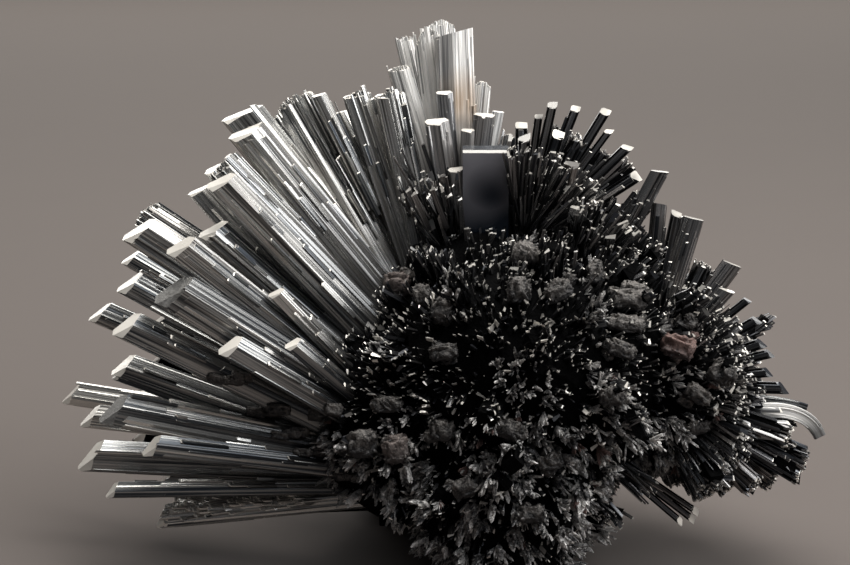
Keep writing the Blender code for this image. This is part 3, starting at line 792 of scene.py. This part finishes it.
# The short crystals in front of the crown.
GREY_ONES = ("crown_blade_04", "crown_blade_05", "crown_blade_07", "crown_blade_09", "crown_blade_12")
for name, prism in prisms.items():
    material, slot = FINISHES[name.split("_")[0]]
    heap = Heap()
    short, rounding = (SHEAF_SHORT, SHEAVES[name][1]) if name in SHEAVES else (BLADE_SHORT, 0.0)
    # The lightening, painted light on some blades, reaches the twigs of fan blades too.
    paler_and_painted_light = PALER_AND_PAINTED_LIGHT.get(name, 0.0)
    grow(heap, prism, short=short, rounding=rounding, pale=paler_and_painted_light)
    heap.tip = [tip * DULL_END.get(name, 1.0) for tip in heap.tip]
    if name.startswith("fan"):
        count, splay = TUFTED.get(name, USUAL_TWIGS)
        twigs(heap, prism, count, paler_and_painted_light, splay)
    if name.startswith("right"):
        twigs(heap, prism, 12)
    if name in SHEAVES:
        fibres(heap, prism, *SHEAVES[name])
    heap.make(f"{name}_grown", GREY if name in GREY_ONES else material, slot, [name])

# %% [markdown]
# Behind the fan and on the back stand more blades of the same sort. They grow from the crust and belong
# to its node, so they are listed here, each on its plain prism. The fan's are given as how far above its
# heart they start, bearing, lean, reach and width, and the back's as bearing, lean, reach and width.

# %% Blades that belong to the crust
FAN_FILL = (
    (-10, 164, -14, 50, 5.5), (-8, 155, -13, 52, 5.5), (-5, 144, -12, 52, 5.5), (3, 138, -13, 47, 5.5),
    (6, 125, -15, 44, 5.5), (12, 111, -13, 36, 5.0), (-11, 176, -9, 48, 4.5), (-13.5, -177, -7, 42, 4.0),
    (-9, 159.5, -15, 50, 5.0), (-12, 170, -12, 49, 5.0), (-13, 179, -10, 45, 4.5),
)
BACK_CRYSTALS = (
    (178, -20, 37, 3.0), (157, -22, 38, 3.4), (136, -30, 37, 3.2), (116, -24, 37, 3.2), (95, -26, 36, 2.6),
    (74, -28, 34, 2.6), (50, -32, 34, 2.4), (15, -42, 34, 2.4), (-8, -34, 38, 2.2), (150, -52, 30, 3.2),
    (110, -60, 27, 3.0), (70, -62, 26, 2.6), (30, -62, 27, 2.6), (190, -36, 35, 3.0), (0, -72, 25, 2.4),
    (180, -64, 26, 2.6),
)
FILL_OVERSIZE, BACK_OVERSIZE = 1.06, 1.1    # how much wider than its plain prism a grown blade is


def fill_prism(rise, bearing, lean, reach, width, oversize=1.0):
    heart = (FAN_HEART[0], FAN_HEART[1] + rise, FAN_HEART[2])
    return planned(heart, bearing, lean, 11, reach, width * oversize)


def back_prism(bearing, lean, reach, width, oversize=1.0):
    return planned(BACK, bearing, lean, 12, reach, width * oversize, 0.7)


fill = Heap()
for row in FAN_FILL:
    prism = fill_prism(*row, FILL_OVERSIZE)
    grow(fill, prism)
    twigs(fill, prism, 16)
fill.make("fan_fill", BLADE)

rear = Heap()
for row in BACK_CRYSTALS:
    grow(rear, back_prism(*row, BACK_OVERSIZE), strips=8)
rear.make("back_crystals", BLADE)

# %% [markdown]
# ## Bent crystals
#
# Two crystals at the far right are bent, which soft stibnite does under its own weight as it grows. A ring
# of points is extruded from one frame to the next along a curved middle line. The line passes through a
# few listed points, and a cubic through them gives the frames between.

# %% Bent crystals
BENT_LONG = ((46, -21, 3), (53, -20, 3), (57.4, -20.4, 3), (60.4, -21.8, 3), (61.9, -24.2, 3))
BENT_SHORT = ((46, -17.5, -1.5), (54, -18.5, -1.5), (58, -19.1, -1.5), (60.6, -19.8, -1.5))
CURVE_ORDER = 3
ROWS = 22       # rings of points along a bent crystal
SIDES = 36      # points in a ring


def bent(heap, points, width, thickness, lift=0.0, stop=1.0):
    """A grooved crystal along a curve; lift moves it across its own width, stop ends it early."""
    reach = np.cumsum([0] + [math.dist(a, b) for a, b in zip(points, points[1:])])
    rows = np.linspace(0, reach[-1] * stop, ROWS)
    line = np.column_stack([np.polyval(np.polyfit(reach, way, CURVE_ORDER), rows) for way in zip(*points)])
    middle = [spot(*row) for row in line]
    steps = 1 - 0.12 * rng.uniform(0, 1, SIDES) ** 2
    turns = np.linspace(0, 2 * math.pi, SIDES, endpoint=False)
    squared = np.maximum(np.abs(np.cos(turns)), np.abs(np.sin(turns)))
    outline = np.column_stack((np.cos(turns), np.sin(turns))) / squared[:, None] * 0.5 * steps[:, None]
    corners, local = [], []
    for index, centre in enumerate(middle):
        along = (middle[min(index + 1, ROWS - 1)] - middle[max(index - 1, 0)]).normalized()
        side = along.cross(TOWARD).normalized()
        front = side.cross(along)
        narrow = 1 - 0.22 * (index / (ROWS - 1)) ** 4
        ring = outline * (width * narrow * MM, thickness * narrow * MM)
        start = centre - lift * MM * side
        corners.append(np.array(start) + ring[:, :1] * np.array(side) + ring[:, 1:] * np.array(front))
        local.append(np.column_stack((ring, np.full(SIDES, rows[index] * MM))))
    shape = bmesh.new()
    bmesh.ops.create_grid(shape, x_segments=SIDES - 1, y_segments=ROWS - 1, size=1)
    for vertex, corner in zip(shape.verts, np.concatenate(corners)):
        vertex.co = corner
    edges = [edge for edge in shape.edges if edge.is_boundary]
    seam = [e for side in (0, SIDES - 1) for e in edges if {v.index % SIDES for v in e.verts} == {side}]
    bmesh.ops.bridge_loops(shape, edges=seam)
    bmesh.ops.holes_fill(shape, edges=[edge for edge in shape.edges if edge.is_boundary], sides=0)
    bmesh.ops.recalc_face_normals(shape, faces=shape.faces)
    where, faces = corners_and_faces(shape)
    shape.free()
    tip = (faces.min(axis=1) >= SIDES * (ROWS - 1)).astype(float)
    # A bent crystal is darker toward its outer end, a painted shade.
    shadow = np.repeat(np.clip(rows / reach[-1] * 3.2 - 2.2, 0, 0.85), SIDES)
    heap.store(where, faces, np.concatenate(local), tip, rng.uniform(), shadow)


long_bend, short_bend = Heap(), Heap()
bent(long_bend, BENT_LONG, 2.4, 1.5)
bent(long_bend, BENT_LONG, 0.9, 1.7, lift=0.7, stop=0.93)
bent(long_bend, BENT_LONG, 0.7, 1.7, lift=-0.8, stop=0.86)
bent(short_bend, BENT_SHORT, 1.3, 1.1)
bent(short_bend, BENT_SHORT, 0.5, 1.25, lift=0.35, stop=0.9)
# The long bent crystal takes the crown's finish, with its painted reflection.
long_bend.make("bent_long_grown", CROWN_PAINTED_LIGHT, "bent_crystal", ["bent_crystal_long"])
short_bend.make("bent_short_grown", BLADE, "bent_crystal", ["bent_crystal_short"])

# Short pale crystals just below the bend: right and up of each end, width.
PALE = ((46, -21.8, 57, -22.4, 1.7), (45, -23.2, 55.6, -24.2, 1.2), (48, -19.6, 55.5, -19.9, 0.9))
pale = Heap()
for right_1, up_1, right_2, up_2, width in PALE:
    grow(pale, Prism(spot(right_1, up_1, 3.5), spot(right_2, up_2, 4.5), width * MM, 0.6 * width * MM),
         strips=5)
# These take the crown's finish, with its painted reflection.
pale.make("pale_crystals", CROWN_PAINTED_LIGHT)

# %% [markdown]
# ## The needles
#
# On the right the crystals are thin, black along their sides and bright at their ends, which are painted
# near white. They are part of the crust's node, so their places are given here: heart, bearing, lean, reach
# and width. A slim one is a single crystal with a few riders. A wide one is a brush, made of many slim
# crystals side by side.

# %% Needles of the crest and the burst
SADDLE = (22, -2, 0)    # the heart between the crest and the burst
NEEDLES = (
    (CREST, ((82, -2, 21.2, 1.2), (77.5, 2, 23.2, 1.4), (68.5, -4, 24, 1.4), (58.5, 2, 25.4, 1.5),
        (53.5, 6, 23.1, 1.1), (44, 0, 23.2, 1.5), (32.5, 0, 21.4, 1.8), (89, -8, 19.8, 1.8),
        (88, 6, 17.4, 1.8), (72, 8, 19, 1.8), (62, -13, 21, 2.0), (37.5, -8, 22.4, 2.0),
        (97, 2, 16, 2.0), (73, -9, 20.5, 2.2), (50, -5, 20.5, 2.2), (63, 5, 19.5, 2.0))),
    (SADDLE, ((50, -4, 20, 3.0), (66, -3, 17, 3.0))),
    (BURST, ((78.5, 2, 27, 1.6), (62, -3, 21, 2.6), (38.5, 0, 21, 1.2), (29.5, 5, 20.3, 1.5),
        (19.5, 8, 19.5, 1.6), (13.5, 0, 20.5, 1.4), (6, 10, 19.5, 1.4), (-1.5, 0, 22, 1.8),
        (-13, -6, 25, 2.2), (-19, 11, 24, 2.2), (-24.5, 0, 28, 2.6), (-30, 6, 28, 2.6),
        (-36, -2, 25.5, 3.0), (-42, 9, 23.5, 2.6), (-50, 2, 21, 3.0), (-60, 3, 20, 2.8),
        (-69, -2, 16.5, 3.0))),
    (LOW, ((-34, 3, 24, 1.0), (-37, 0, 24.4, 1.1), (-40.5, 3, 23, 1.0))),
)
BRUSH_FROM = 1.9     # a needle this wide is a brush, mm
LOW_BEARING = -8     # a brush that points lower than this is part of the low brush, which is thicker
needle_lines = []
needles, low_brush = Heap(), Heap()


def brush(heap, prism, count):
    """Slim crystals on and in a wide plain needle, which hide its plain faces and its end."""
    ring = prism.ring(None, GROOVES)
    for number in range(count):
        inner = number < 0.4 * count
        x, y = ring[rng.integers(GROOVES)] * (rng.uniform(0, 0.85) if inner else rng.uniform(0.85, 1.15))
        short = -0.25 * rng.uniform() if inner else prism.length / MM * 0.55 * rng.uniform() ** 1.6
        end = prism.length - short * MM
        wide = rng.uniform(0.45, 1.1) * MM
        spread = 1 + 0.25 * rng.uniform(-1, 1)
        heap.add(TABLET, prism.at(x * 0.8, y * 0.8, end * 0.35), prism.at(x * spread, y * spread, end),
                 wide, wide * rng.uniform(0.4, 0.8), rng.uniform(), roll=rng.normal(0, 0.6),
                 shade=(0.9, -0.3))


def ragged_end(heap, prism, count):
    """Short jagged crystals that cover a wide needle's end."""
    ring = prism.ring(None, GROOVES)
    for _ in range(count):
        x, y = ring[rng.integers(GROOVES)] * math.sqrt(rng.uniform())
        past = rng.uniform(0.1, 0.7) * MM
        wide = rng.uniform(0.35, 0.9) * MM
        aside = rng.normal(0, 0.45, 2) * MM
        heap.add(JAGGED, prism.at(x, y, prism.length - 2.2 * MM),
                 prism.at(x + aside[0], y + aside[1], prism.length + past), wide,
                 wide * rng.uniform(0.35, 0.7), rng.uniform(0.2, 1), roll=rng.uniform(0, 3),
                 shade=(0.9, 0.0))


def needle(heart, bearing, lean, reach, width):
    """A brush when it is wide, and else one slim crystal with a few riders."""
    prism = planned(heart, bearing, lean, -4, reach, width, 0.8)
    needle_lines.append((prism.at(0, 0, 0), prism.at(0, 0, prism.length), width))
    if width > BRUSH_FROM:
        pile, thickly = (low_brush, 30) if bearing < LOW_BEARING else (needles, 17)
        brush(pile, prism, round(thickly * width))
        ragged_end(pile, prism, round(16 * width))
        return
    black = heart == BURST and bearing < 45
    tone = 0.1 if black else rng.uniform(0.5, 0.8)
    slim = Prism(prism.at(0, 0, 0), prism.at(0, 0, prism.length + 0.3 * MM), prism.width, prism.thickness,
                 END_FORWARD if black else 0.9)
    if not black:
        slim.end = (slim.end + Vector((rng.uniform(-0.4, 0.4), rng.uniform(0.0, 0.3), 0))).normalized()
    grooved_body(needles, slim, tone, prism.ring(None, 12), 0.03, 0.0)
    for _ in range(6):
        x, y = rng.uniform(-0.6, 0.6, 2) * (prism.width, prism.thickness)
        end = prism.length * rng.uniform(0.55, 0.95)
        wide = width * rng.uniform(0.3, 0.55) * MM
        needles.add(TABLET, prism.at(x, y, 0), prism.at(x * 1.2, y * 1.2, end), wide, wide * 0.7,
                    rng.uniform(), roll=rng.normal(0, 0.6), shade=(0.9, 0.0))


for heart, rows in NEEDLES:
    for row in rows:
        needle(heart, *row)
needles.make("long_needles", PRISM)
low_brush.make("low_brush", PRISM)

# %% [markdown]
# Between the long needles stand thickets of shorter ones, so thick that nothing shows through. Each thicket
# fills a range of bearings and leans from one heart, out to a little less than the long needles' reach.

# %% Thickets
NARROWEST = 0.35    # mm
# Heart, bearings, leans, reaches in mm, how many, widest in mm.
BLACK_THICKETS = (
    (CREST, (30, 101), (-30, 32), (8, 17.0), 760, 1.3),
    (SADDLE, (38, 82), (-28, 30), (8, 17.0), 360, 1.5),
    (BURST, (-20, 80), (-35, 40), (13, 18.5), 800, 1.1),
)
GREY_THICKETS = (
    (BURST, (-66, -20), (-25, 35), (15, 20.5), 1000, 0.9),
    ((6, -1, -4), (58, 90), (-25, -6), (12, 27), 160, 1.4),
    (LOW, (-46, -30), (-6, 20), (11, 18.5), 60, 0.5),
    ((6, -1, -3), (93, 122), (-10, 14), (12, 25), 90, 1.8),
    ((6, -1, -2), (92, 126), (8, 32), (9, 20), 200, 1.4),
)


def thicket(name, rows, material):
    heap = Heap()
    for heart, bearings, leans, reaches, count, widest in rows:
        for _ in range(count):
            reach = reaches[1] - (reaches[1] - reaches[0]) * rng.uniform() ** 1.3
            way = heading(rng.uniform(*bearings), rng.uniform(*leans))
            bend = Vector(rng.normal(0, 0.06, 3))
            tip = spot(*heart) + way * reach * MM
            foot = tip - (way + bend).normalized() * min(reach * 0.6, 7.0) * MM
            wide = (NARROWEST + (widest - NARROWEST) * rng.uniform() ** 2) * MM
            pattern, thick = (LANCE, rng.uniform(0.6, 1.0)) if rng.uniform() < 0.3 else (TABLET, 0.6)
            heap.add(pattern, foot, tip, wide, wide * thick, rng.uniform(), roll=rng.normal(0, 0.7),
                     shade=(0.95, 0.0), share=0.6)
    heap.make(name, material)


thicket("black_thickets", BLACK_THICKETS, NEEDLE)
thicket("grey_thickets", GREY_THICKETS, PRISM)

# %% [markdown]
# ## Rough lumps
#
# Among the needles sit rough rounded lumps: crystals whose ends were etched dull. Each is a sphere from the
# icosphere operator, pushed in and out by layered noise, flattened, and set on the plain swelling that the
# crust's node has there. A ray from the front finds the surface that it sits on.

# %% The surface seen from the front
WELL_CLEAR = 90    # mm in front of the face's middle, which no crystal reaches
points, triangles = [], []
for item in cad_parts.values():
    item.data.calc_loop_triangles()
    start = len(points)
    points += [vertex.co.copy() for vertex in item.data.vertices]
    triangles += [[start + index for index in triangle.vertices] for triangle in item.data.loop_triangles]
whole_front = BVHTree.FromPolygons(points, triangles)


def front_surface(right, up):
    place = whole_front.ray_cast(spot(right, up, WELL_CLEAR), -TOWARD)[0]
    return face_coordinates(place)[2] if place else 0.0


print("the middle of the face stands", round(front_surface(12, -10), 1), "mm forward")

# %% Rough lumps
# Right, up, half width, half height, turn, tone: a tone near one is reddish.
SWELLINGS = (
    (-4.3, -0.4, 2.6, 2.7, 0, 0.85), (-0.3, -2, 1.8, 2.2, 20, 0.4), (2.4, -4.3, 1.9, 2.4, -30, 0.3),
    (2.8, -10.5, 2.6, 1.6, 10, 0.2), (-5.8, -18.6, 3.0, 1.5, 5, 0.3), (15, 3.9, 2.2, 3.2, -20, 0.6),
    (14.2, -1.2, 2.3, 2.6, 0, 0.3), (20.2, -1.3, 2.6, 1.8, 30, 0.4), (26, 1.4, 1.5, 2.1, 0, 0.3),
    (31.1, -2.6, 3.6, 2.1, 0, 0.6), (30.5, -6.2, 3.4, 1.7, -8, 0.5), (38.4, -9.7, 3.1, 2.3, -15, 0.95),
    (45, -13.6, 2.2, 2.4, -35, 0.3), (29.5, -10, 2.8, 1.6, -20, 0.3), (28, -17, 2.4, 1.7, 0, 0.4),
    (41.5, -17, 2.6, 1.6, -30, 0.5), (42, -22.3, 2.8, 1.3, 15, 0.6), (40, -6, 2.0, 1.9, -30, 0.2),
    (-9.5, -24.6, 3.0, 2.6, 0, 0.3), (-4.4, -25.4, 2.6, 2.8, 10, 0.85), (2.7, -22.4, 2.4, 2.1, 0, 0.3),
    (12.5, -22, 2.6, 2.0, -20, 0.2), (19, -27, 2.4, 1.8, 15, 0.3), (6, -31, 2.6, 2.0, 30, 0.5),
    (16, -35, 2.6, 1.8, 0, 0.4),
)
# Rough bars that lie along the fan's lower blades: right, up, half length, half width, turn, tone.
BARS = (
    (-30, -15, 3.6, 1.1, -12, 0.8), (-24.5, -19.8, 3.8, 1.1, -8, 0.4), (-21, -23.4, 3.2, 1.0, -5, 0.5),
    (-15.5, -20.2, 3.0, 1.5, -6, 0.5), (-17.5, -26.4, 3.4, 0.9, 0, 0.3), (-11.5, -30.5, 3.0, 1.0, 4, 0.4),
)


def rough_lump(heap, right, up, half_width, half_height, turn, tone, raised, squash):
    """A blocky lump with ridges and pits, with painted shade: light above and black below."""
    shape = bmesh.new()
    bmesh.ops.create_icosphere(shape, subdivisions=4, radius=1)
    seed = Vector((right, up, turn)) * 0.37
    for vertex in shape.verts:
        way = vertex.co.copy()
        blocky = Vector([math.copysign(abs(c) ** 0.55, c) for c in way])
        ridged = abs(noise.noise(way * 1.5 + seed)) + 0.5 * abs(noise.noise(way * 3.1 + seed))
        grit = 0.09 * noise.noise(way * 6 + seed) + 0.06 * noise.noise(way * 13 + seed)
        vertex.co = blocky * (0.92 - 0.55 * ridged + grit)
    local, faces = corners_and_faces(shape)
    shape.free()
    thickness = squash * min(half_width, half_height)
    turned = Matrix((RIGHT, UP, TOWARD)).transposed() @ Matrix.Rotation(math.radians(turn), 3, "Z")
    size = np.array((half_width, half_height, thickness)) * MM
    centre = spot(right, up, front_surface(right, up) + raised * thickness)
    corners = (local * size) @ np.array(turned).T + np.array(centre)
    # Painted shade: lighter at the lump's top, black toward its foot.
    shade = np.clip(0.35 - 0.75 * local[:, 1], 0, 0.97)
    heap.store(corners, faces, local, np.zeros(len(faces)), tone, shade)


chance = np.random.default_rng(seed=5)
lumps = Heap()
for right, up, half_width, half_height, turn, tone in SWELLINGS:
    rough_lump(lumps, right, up, half_width, half_height, turn, tone, -0.3, 0.9)
    for _ in range(2):
        aside, above = chance.uniform(-0.8, 0.8, 2) * (half_width, half_height)
        small = chance.uniform(0.45, 0.75)
        rough_lump(lumps, right + aside, up + above, half_width * small, half_height * small,
                   turn + chance.uniform(-50, 50), tone + chance.uniform(-0.15, 0.1), 0.0, 1.0)
for right, up, half_width, half_height, turn, tone in BARS:
    for shift in (-0.45, 0.1, 0.5):
        rough_lump(lumps, right + shift * half_width, up + chance.uniform(-0.5, 0.5) * half_height,
                   half_width * 0.6, half_height * chance.uniform(0.7, 1.1), turn, tone, 0.05, 0.9)
lumps.make("rough_lumps", LUMP, smooth=True)

# %% [markdown]
# ## The crust's small crystals
#
# Thousands of small crystals stand on the crust's node and cover its plain faces. Each starts at a random
# place on the node's surface, so the small ones follow its lumps and reach as far as its own prisms do. It
# points half away from the middle of the lobe that it grows on, and half away from the heart. Noise gathers
# them in clumps with dark gaps between, where the crust's painted shade shows, and what they are depends on
# where they stand: thin needles with ends painted bright in front and above, sprays of rough leaves below,
# slim needles on the right.

# %% Places on the crust
# Its lobes: right, up, toward and radius, mm.
LOBES = ((17, -13, -1, 24), (-5, -21, -1, 15), (7, 0, -4, 12), (25, -2, -2, 13), (39, -16, 0, 14),
         (12.5, -28, 0, 17), (12.5, -36, -4, 15), (-1.5, -31, -24, 11))
lobe_middles = np.array([spot(*lobe[:3]) for lobe in LOBES])
lobe_sizes = np.array([lobe[3] * MM for lobe in LOBES])
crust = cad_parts["crust"]
lump_places = [spot(right, up, front_surface(right, up)) for right, up, *_ in SWELLINGS + BARS]
lump_sizes = [max(row[2], row[3]) * MM for row in SWELLINGS + BARS]
FOOT_MARGIN = 1.2 * MM    # no small crystal starts lower than this
fused = [fill_prism(*row) for row in FAN_FILL] + [back_prism(*row) for row in BACK_CRYSTALS]


def near_line(point, foot, tip, reach, from_share):
    line = tip - foot
    share = (point - foot).dot(line) / line.length_squared
    return share > from_share and (point - foot - line * share).length < reach


def taken(point):
    """Whether a place belongs to a needle, a dressed blade or a lump."""
    for foot, tip, width in needle_lines:
        if near_line(point, foot, tip, (width / 2 + 0.8) * MM, 0.5):
            return True
    for prism in fused:
        if near_line(point, prism.at(0, 0, 0), prism.at(0, 0, prism.length), prism.width * 0.75, 0.35):
            return True
    return any((point - place).length < 0.75 * size for place, size in zip(lump_places, lump_sizes))


def crust_places(count, seed):
    """Random places on the crust's surface: point, outward direction and face normal."""
    chance = np.random.default_rng(seed)
    data = crust.data
    corners = np.array([vertex.co for vertex in data.vertices])
    triangles = np.array([triangle.vertices for triangle in data.loop_triangles])
    a, b, c = corners[triangles[:, 0]], corners[triangles[:, 1]], corners[triangles[:, 2]]
    normals = np.cross(b - a, c - a)
    areas = np.linalg.norm(normals, axis=1)
    picks = chance.choice(len(triangles), count, p=areas / areas.sum())
    u, v = chance.uniform(size=(2, count))
    u, v = np.where(u + v > 1, 1 - u, u), np.where(u + v > 1, 1 - v, v)
    points = a[picks] + (b - a)[picks] * u[:, None] + (c - a)[picks] * v[:, None]
    places = []
    for point, normal in zip(points, normals[picks] / areas[picks][:, None]):
        spread = np.linalg.norm(point - lobe_middles, axis=1) / lobe_sizes
        place = Vector(point)
        own = Vector(point - lobe_middles[spread.argmin()]).normalized()
        outward = (own + (place - HEART).normalized()).normalized()
        if place.z > FOOT_MARGIN and outward.dot(Vector(normal)) > -0.25 and not taken(place):
            places.append((place, outward, Vector(normal)))
    return places


places = crust_places(42000, seed=3)
print("places on the crust:", len(places))

# %% Growing the small crystals
RIGHT_SIDE, FAR_RIGHT = 24, 46    # mm: where slim needles take over, and where all stay short
BOX_MARGIN = 0.4 * MM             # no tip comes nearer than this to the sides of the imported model's box
chance = np.random.default_rng(seed=11)
front_needles, right_needles, rough_leaves, low_leaves = Heap(), Heap(), Heap(), Heap()


def inside_box(point):
    return all(low + BOX_MARGIN < c < high - BOX_MARGIN for c, low, high in zip(point, *cad_box))


def spray(heap, place, way, tone, size):
    """A few rough leaves that open like a hand from one foot."""
    across = way.orthogonal().normalized()
    across = Matrix.Rotation(chance.uniform(0, math.pi), 3, way) @ across
    number = chance.integers(3, 8)
    for index in range(number):
        turn = (index / (number - 1) - 0.5) * chance.uniform(0.5, 1.2)
        leaf = (way + across * turn + Vector(chance.normal(0, 0.12, 3))).normalized()
        length = size * chance.uniform(1.5, 3.2) * MM
        width = size * chance.uniform(0.5, 1.0) * MM
        tip = place + leaf * length
        if inside_box(tip):
            heap.add(PETAL if chance.uniform() < 0.65 else JAGGED, place - leaf * 1.1 * MM, tip, width,
                     width * chance.uniform(0.35, 0.6), tone, up=across, roll=chance.normal(0, 0.3),
                     shade=(0.9, -0.8), share=0.15)


def small_crystal(heap, place, way, tone, clump, longest):
    """A thin tablet with an end painted bright, a painted highlight; it stands longer where the small
    crystals are clumped.
    """
    coarse = 0.46 + 0.9 * max(0.0, noise.noise(place / MM * 0.45 + Vector((4, 4, 4))))
    width = min(coarse * math.exp(chance.normal(0, 0.5)), 2.2) * MM
    length = min(chance.uniform(0.8, 2.2 + 3.0 * max(0.0, clump)), longest) * MM
    tip = place + way * length
    if inside_box(tip):
        lance = chance.uniform() < 0.25
        heap.add(LANCE if lance else TABLET, place - way * 1.5 * MM, tip, width * (0.7 if lance else 1.0),
                 width * chance.uniform(0.3, 0.6), tone, roll=chance.normal(0.2, 0.55), share=0.7)


for place, outward, normal in places:
    right, up, _ = face_coordinates(place)
    clump = noise.noise(place / MM * 0.30)
    jitter = Vector(chance.normal(0, 0.22, 3))
    tone = chance.uniform(0, 0.82) if chance.uniform() < 0.975 else 0.95
    # Under its two overhangs the crust stays bare.
    if right < -5 and up < -33 or right > 30 and up < -34:
        continue
    slim = right_needles if right > RIGHT_SIDE else front_needles
    rough_bias = 0.5 if up < -20 else 0.08 if right > RIGHT_SIDE and up < -4 else -0.28
    rough = noise.noise(place / MM * 0.16 + Vector((9, 3, 1))) + rough_bias + 0.12 * chance.normal()
    if rough > 0.1:
        void = noise.noise(place / MM * 0.22 + Vector((3, 8, 5)))
        way = (outward + 0.4 * normal + 1.2 * jitter).normalized()
        pick = chance.uniform()
        if void > -0.14 and pick < 0.30 and not (right > 50 and up > -10):
            low = min(max(-up - 14, 0.0) / 12, 1.0)
            size = chance.uniform(0.5, 0.85 + 0.45 * low) * (0.6 if right > FAR_RIGHT else 1.0)
            spray(low_leaves if up < -24 else rough_leaves, place, way, tone, size)
        elif pick > 0.76:
            small_crystal(slim, place, way, tone, 0.0, 2.4)
        continue
    if clump < -0.30 + 0.10 * chance.normal() or chance.uniform() < 0.3:
        continue
    lift = 0.45 * max(0.0, up + 14) / 20
    way = (outward + lift * UP + jitter).normalized()
    small_crystal(slim, place, way, tone, clump, 1.6 if right > FAR_RIGHT else 6.0)
front_needles.make("front_needles", NEEDLE)
right_needles.make("right_needles", NEEDLE)
rough_leaves.make("rough_leaves", LEAF)
low_leaves.make("low_leaves", LEAF)

# %% [markdown]
# ## Floor and light
#
# The specimen stands on a plain warm floor, painted lighter further out: painted light that makes up for
# the lamps' fall-off. A wide soft light hangs above it and lights the end faces, which look up and are
# painted near white as well, a painted highlight. A lower one stands behind, for the faces that look back
# and to the left. One on the right draws bright lines on the needles, a small one in front fills the sides,
# and the room stays dim.

# %% Floor


def plain_floor():
    finish = Finish("floor")
    mottle = finish.noise(finish.place, 30.0, 3.0)
    colour = finish.blend(mottle, rgb(0.131, 0.113, 0.106), rgb(0.139, 0.121, 0.112))
    # Further out the floor is painted lighter: painted light that makes up for the lamps' fall-off.
    colour = finish.blend(finish.nearness((0, 0, 0), 1.1), rgb(0.24, 0.213, 0.192), colour)
    return finish.set(colour=colour, roughness=0.8, specular=0.2)


FLOOR_HALF = 2.0    # metres, half the floor's width
ground = bmesh.new()
bmesh.ops.create_grid(ground, x_segments=2, y_segments=2, size=FLOOR_HALF)
floor_mesh = bpy.data.meshes.new("floor")
ground.to_mesh(floor_mesh)
ground.free()
floor_mesh.materials.append(plain_floor())
placed("floor", floor_mesh)
print("floor laid, metres wide:", 2 * FLOOR_HALF)

# %% Lights


def softbox(name, place, aim, width, depth, brightness, colour):
    """A rectangular light whose face has a given brightness, in watts per square metre and steradian."""
    lamp = bpy.data.lights.new(name, "AREA")
    lamp.shape, lamp.size, lamp.size_y = "RECTANGLE", width, depth
    lamp.energy, lamp.color = brightness * math.pi * width * depth, colour
    item = placed(name, lamp)
    item.location = place
    item.rotation_euler = (Vector(aim) - Vector(place)).to_track_quat("-Z", "Y").to_euler()


softbox("overhead softbox", (0.03, 0.03, 0.42), (0.01, 0.0, 0.03), 0.52, 0.26, 6.4, (1.0, 0.975, 0.93))
softbox("back softbox", (-0.03, 0.60, 0.16), (0, 0, 0.06), 0.90, 0.20, 2.6, (1.0, 0.98, 0.95))
softbox("right softbox", (0.46, -0.06, 0.19), (0, 0, 0.05), 0.28, 0.28, 5.4, (1.0, 0.98, 0.95))
softbox("front fill", (0.32, -0.26, 0.42), (0, 0, 0.03), 0.26, 0.20, 3.4, (0.95, 0.97, 1.0))
world = bpy.data.worlds.new("studio")
world.use_nodes = True
room = world.node_tree.nodes["Background"].inputs
room["Color"].default_value = rgb(0.9, 0.93, 1.0)
room["Strength"].default_value = 0.05
bpy.context.scene.world = world
bpy.context.scene.view_settings.view_transform = "Standard"
print("lights:", len(bpy.data.lights))

# %% Finish
# The crust's own faces are painted near black, as painted shade between the small crystals.
crust.data.materials.clear()
crust.data.materials.append(CRUST_PAINTED_SHADE)
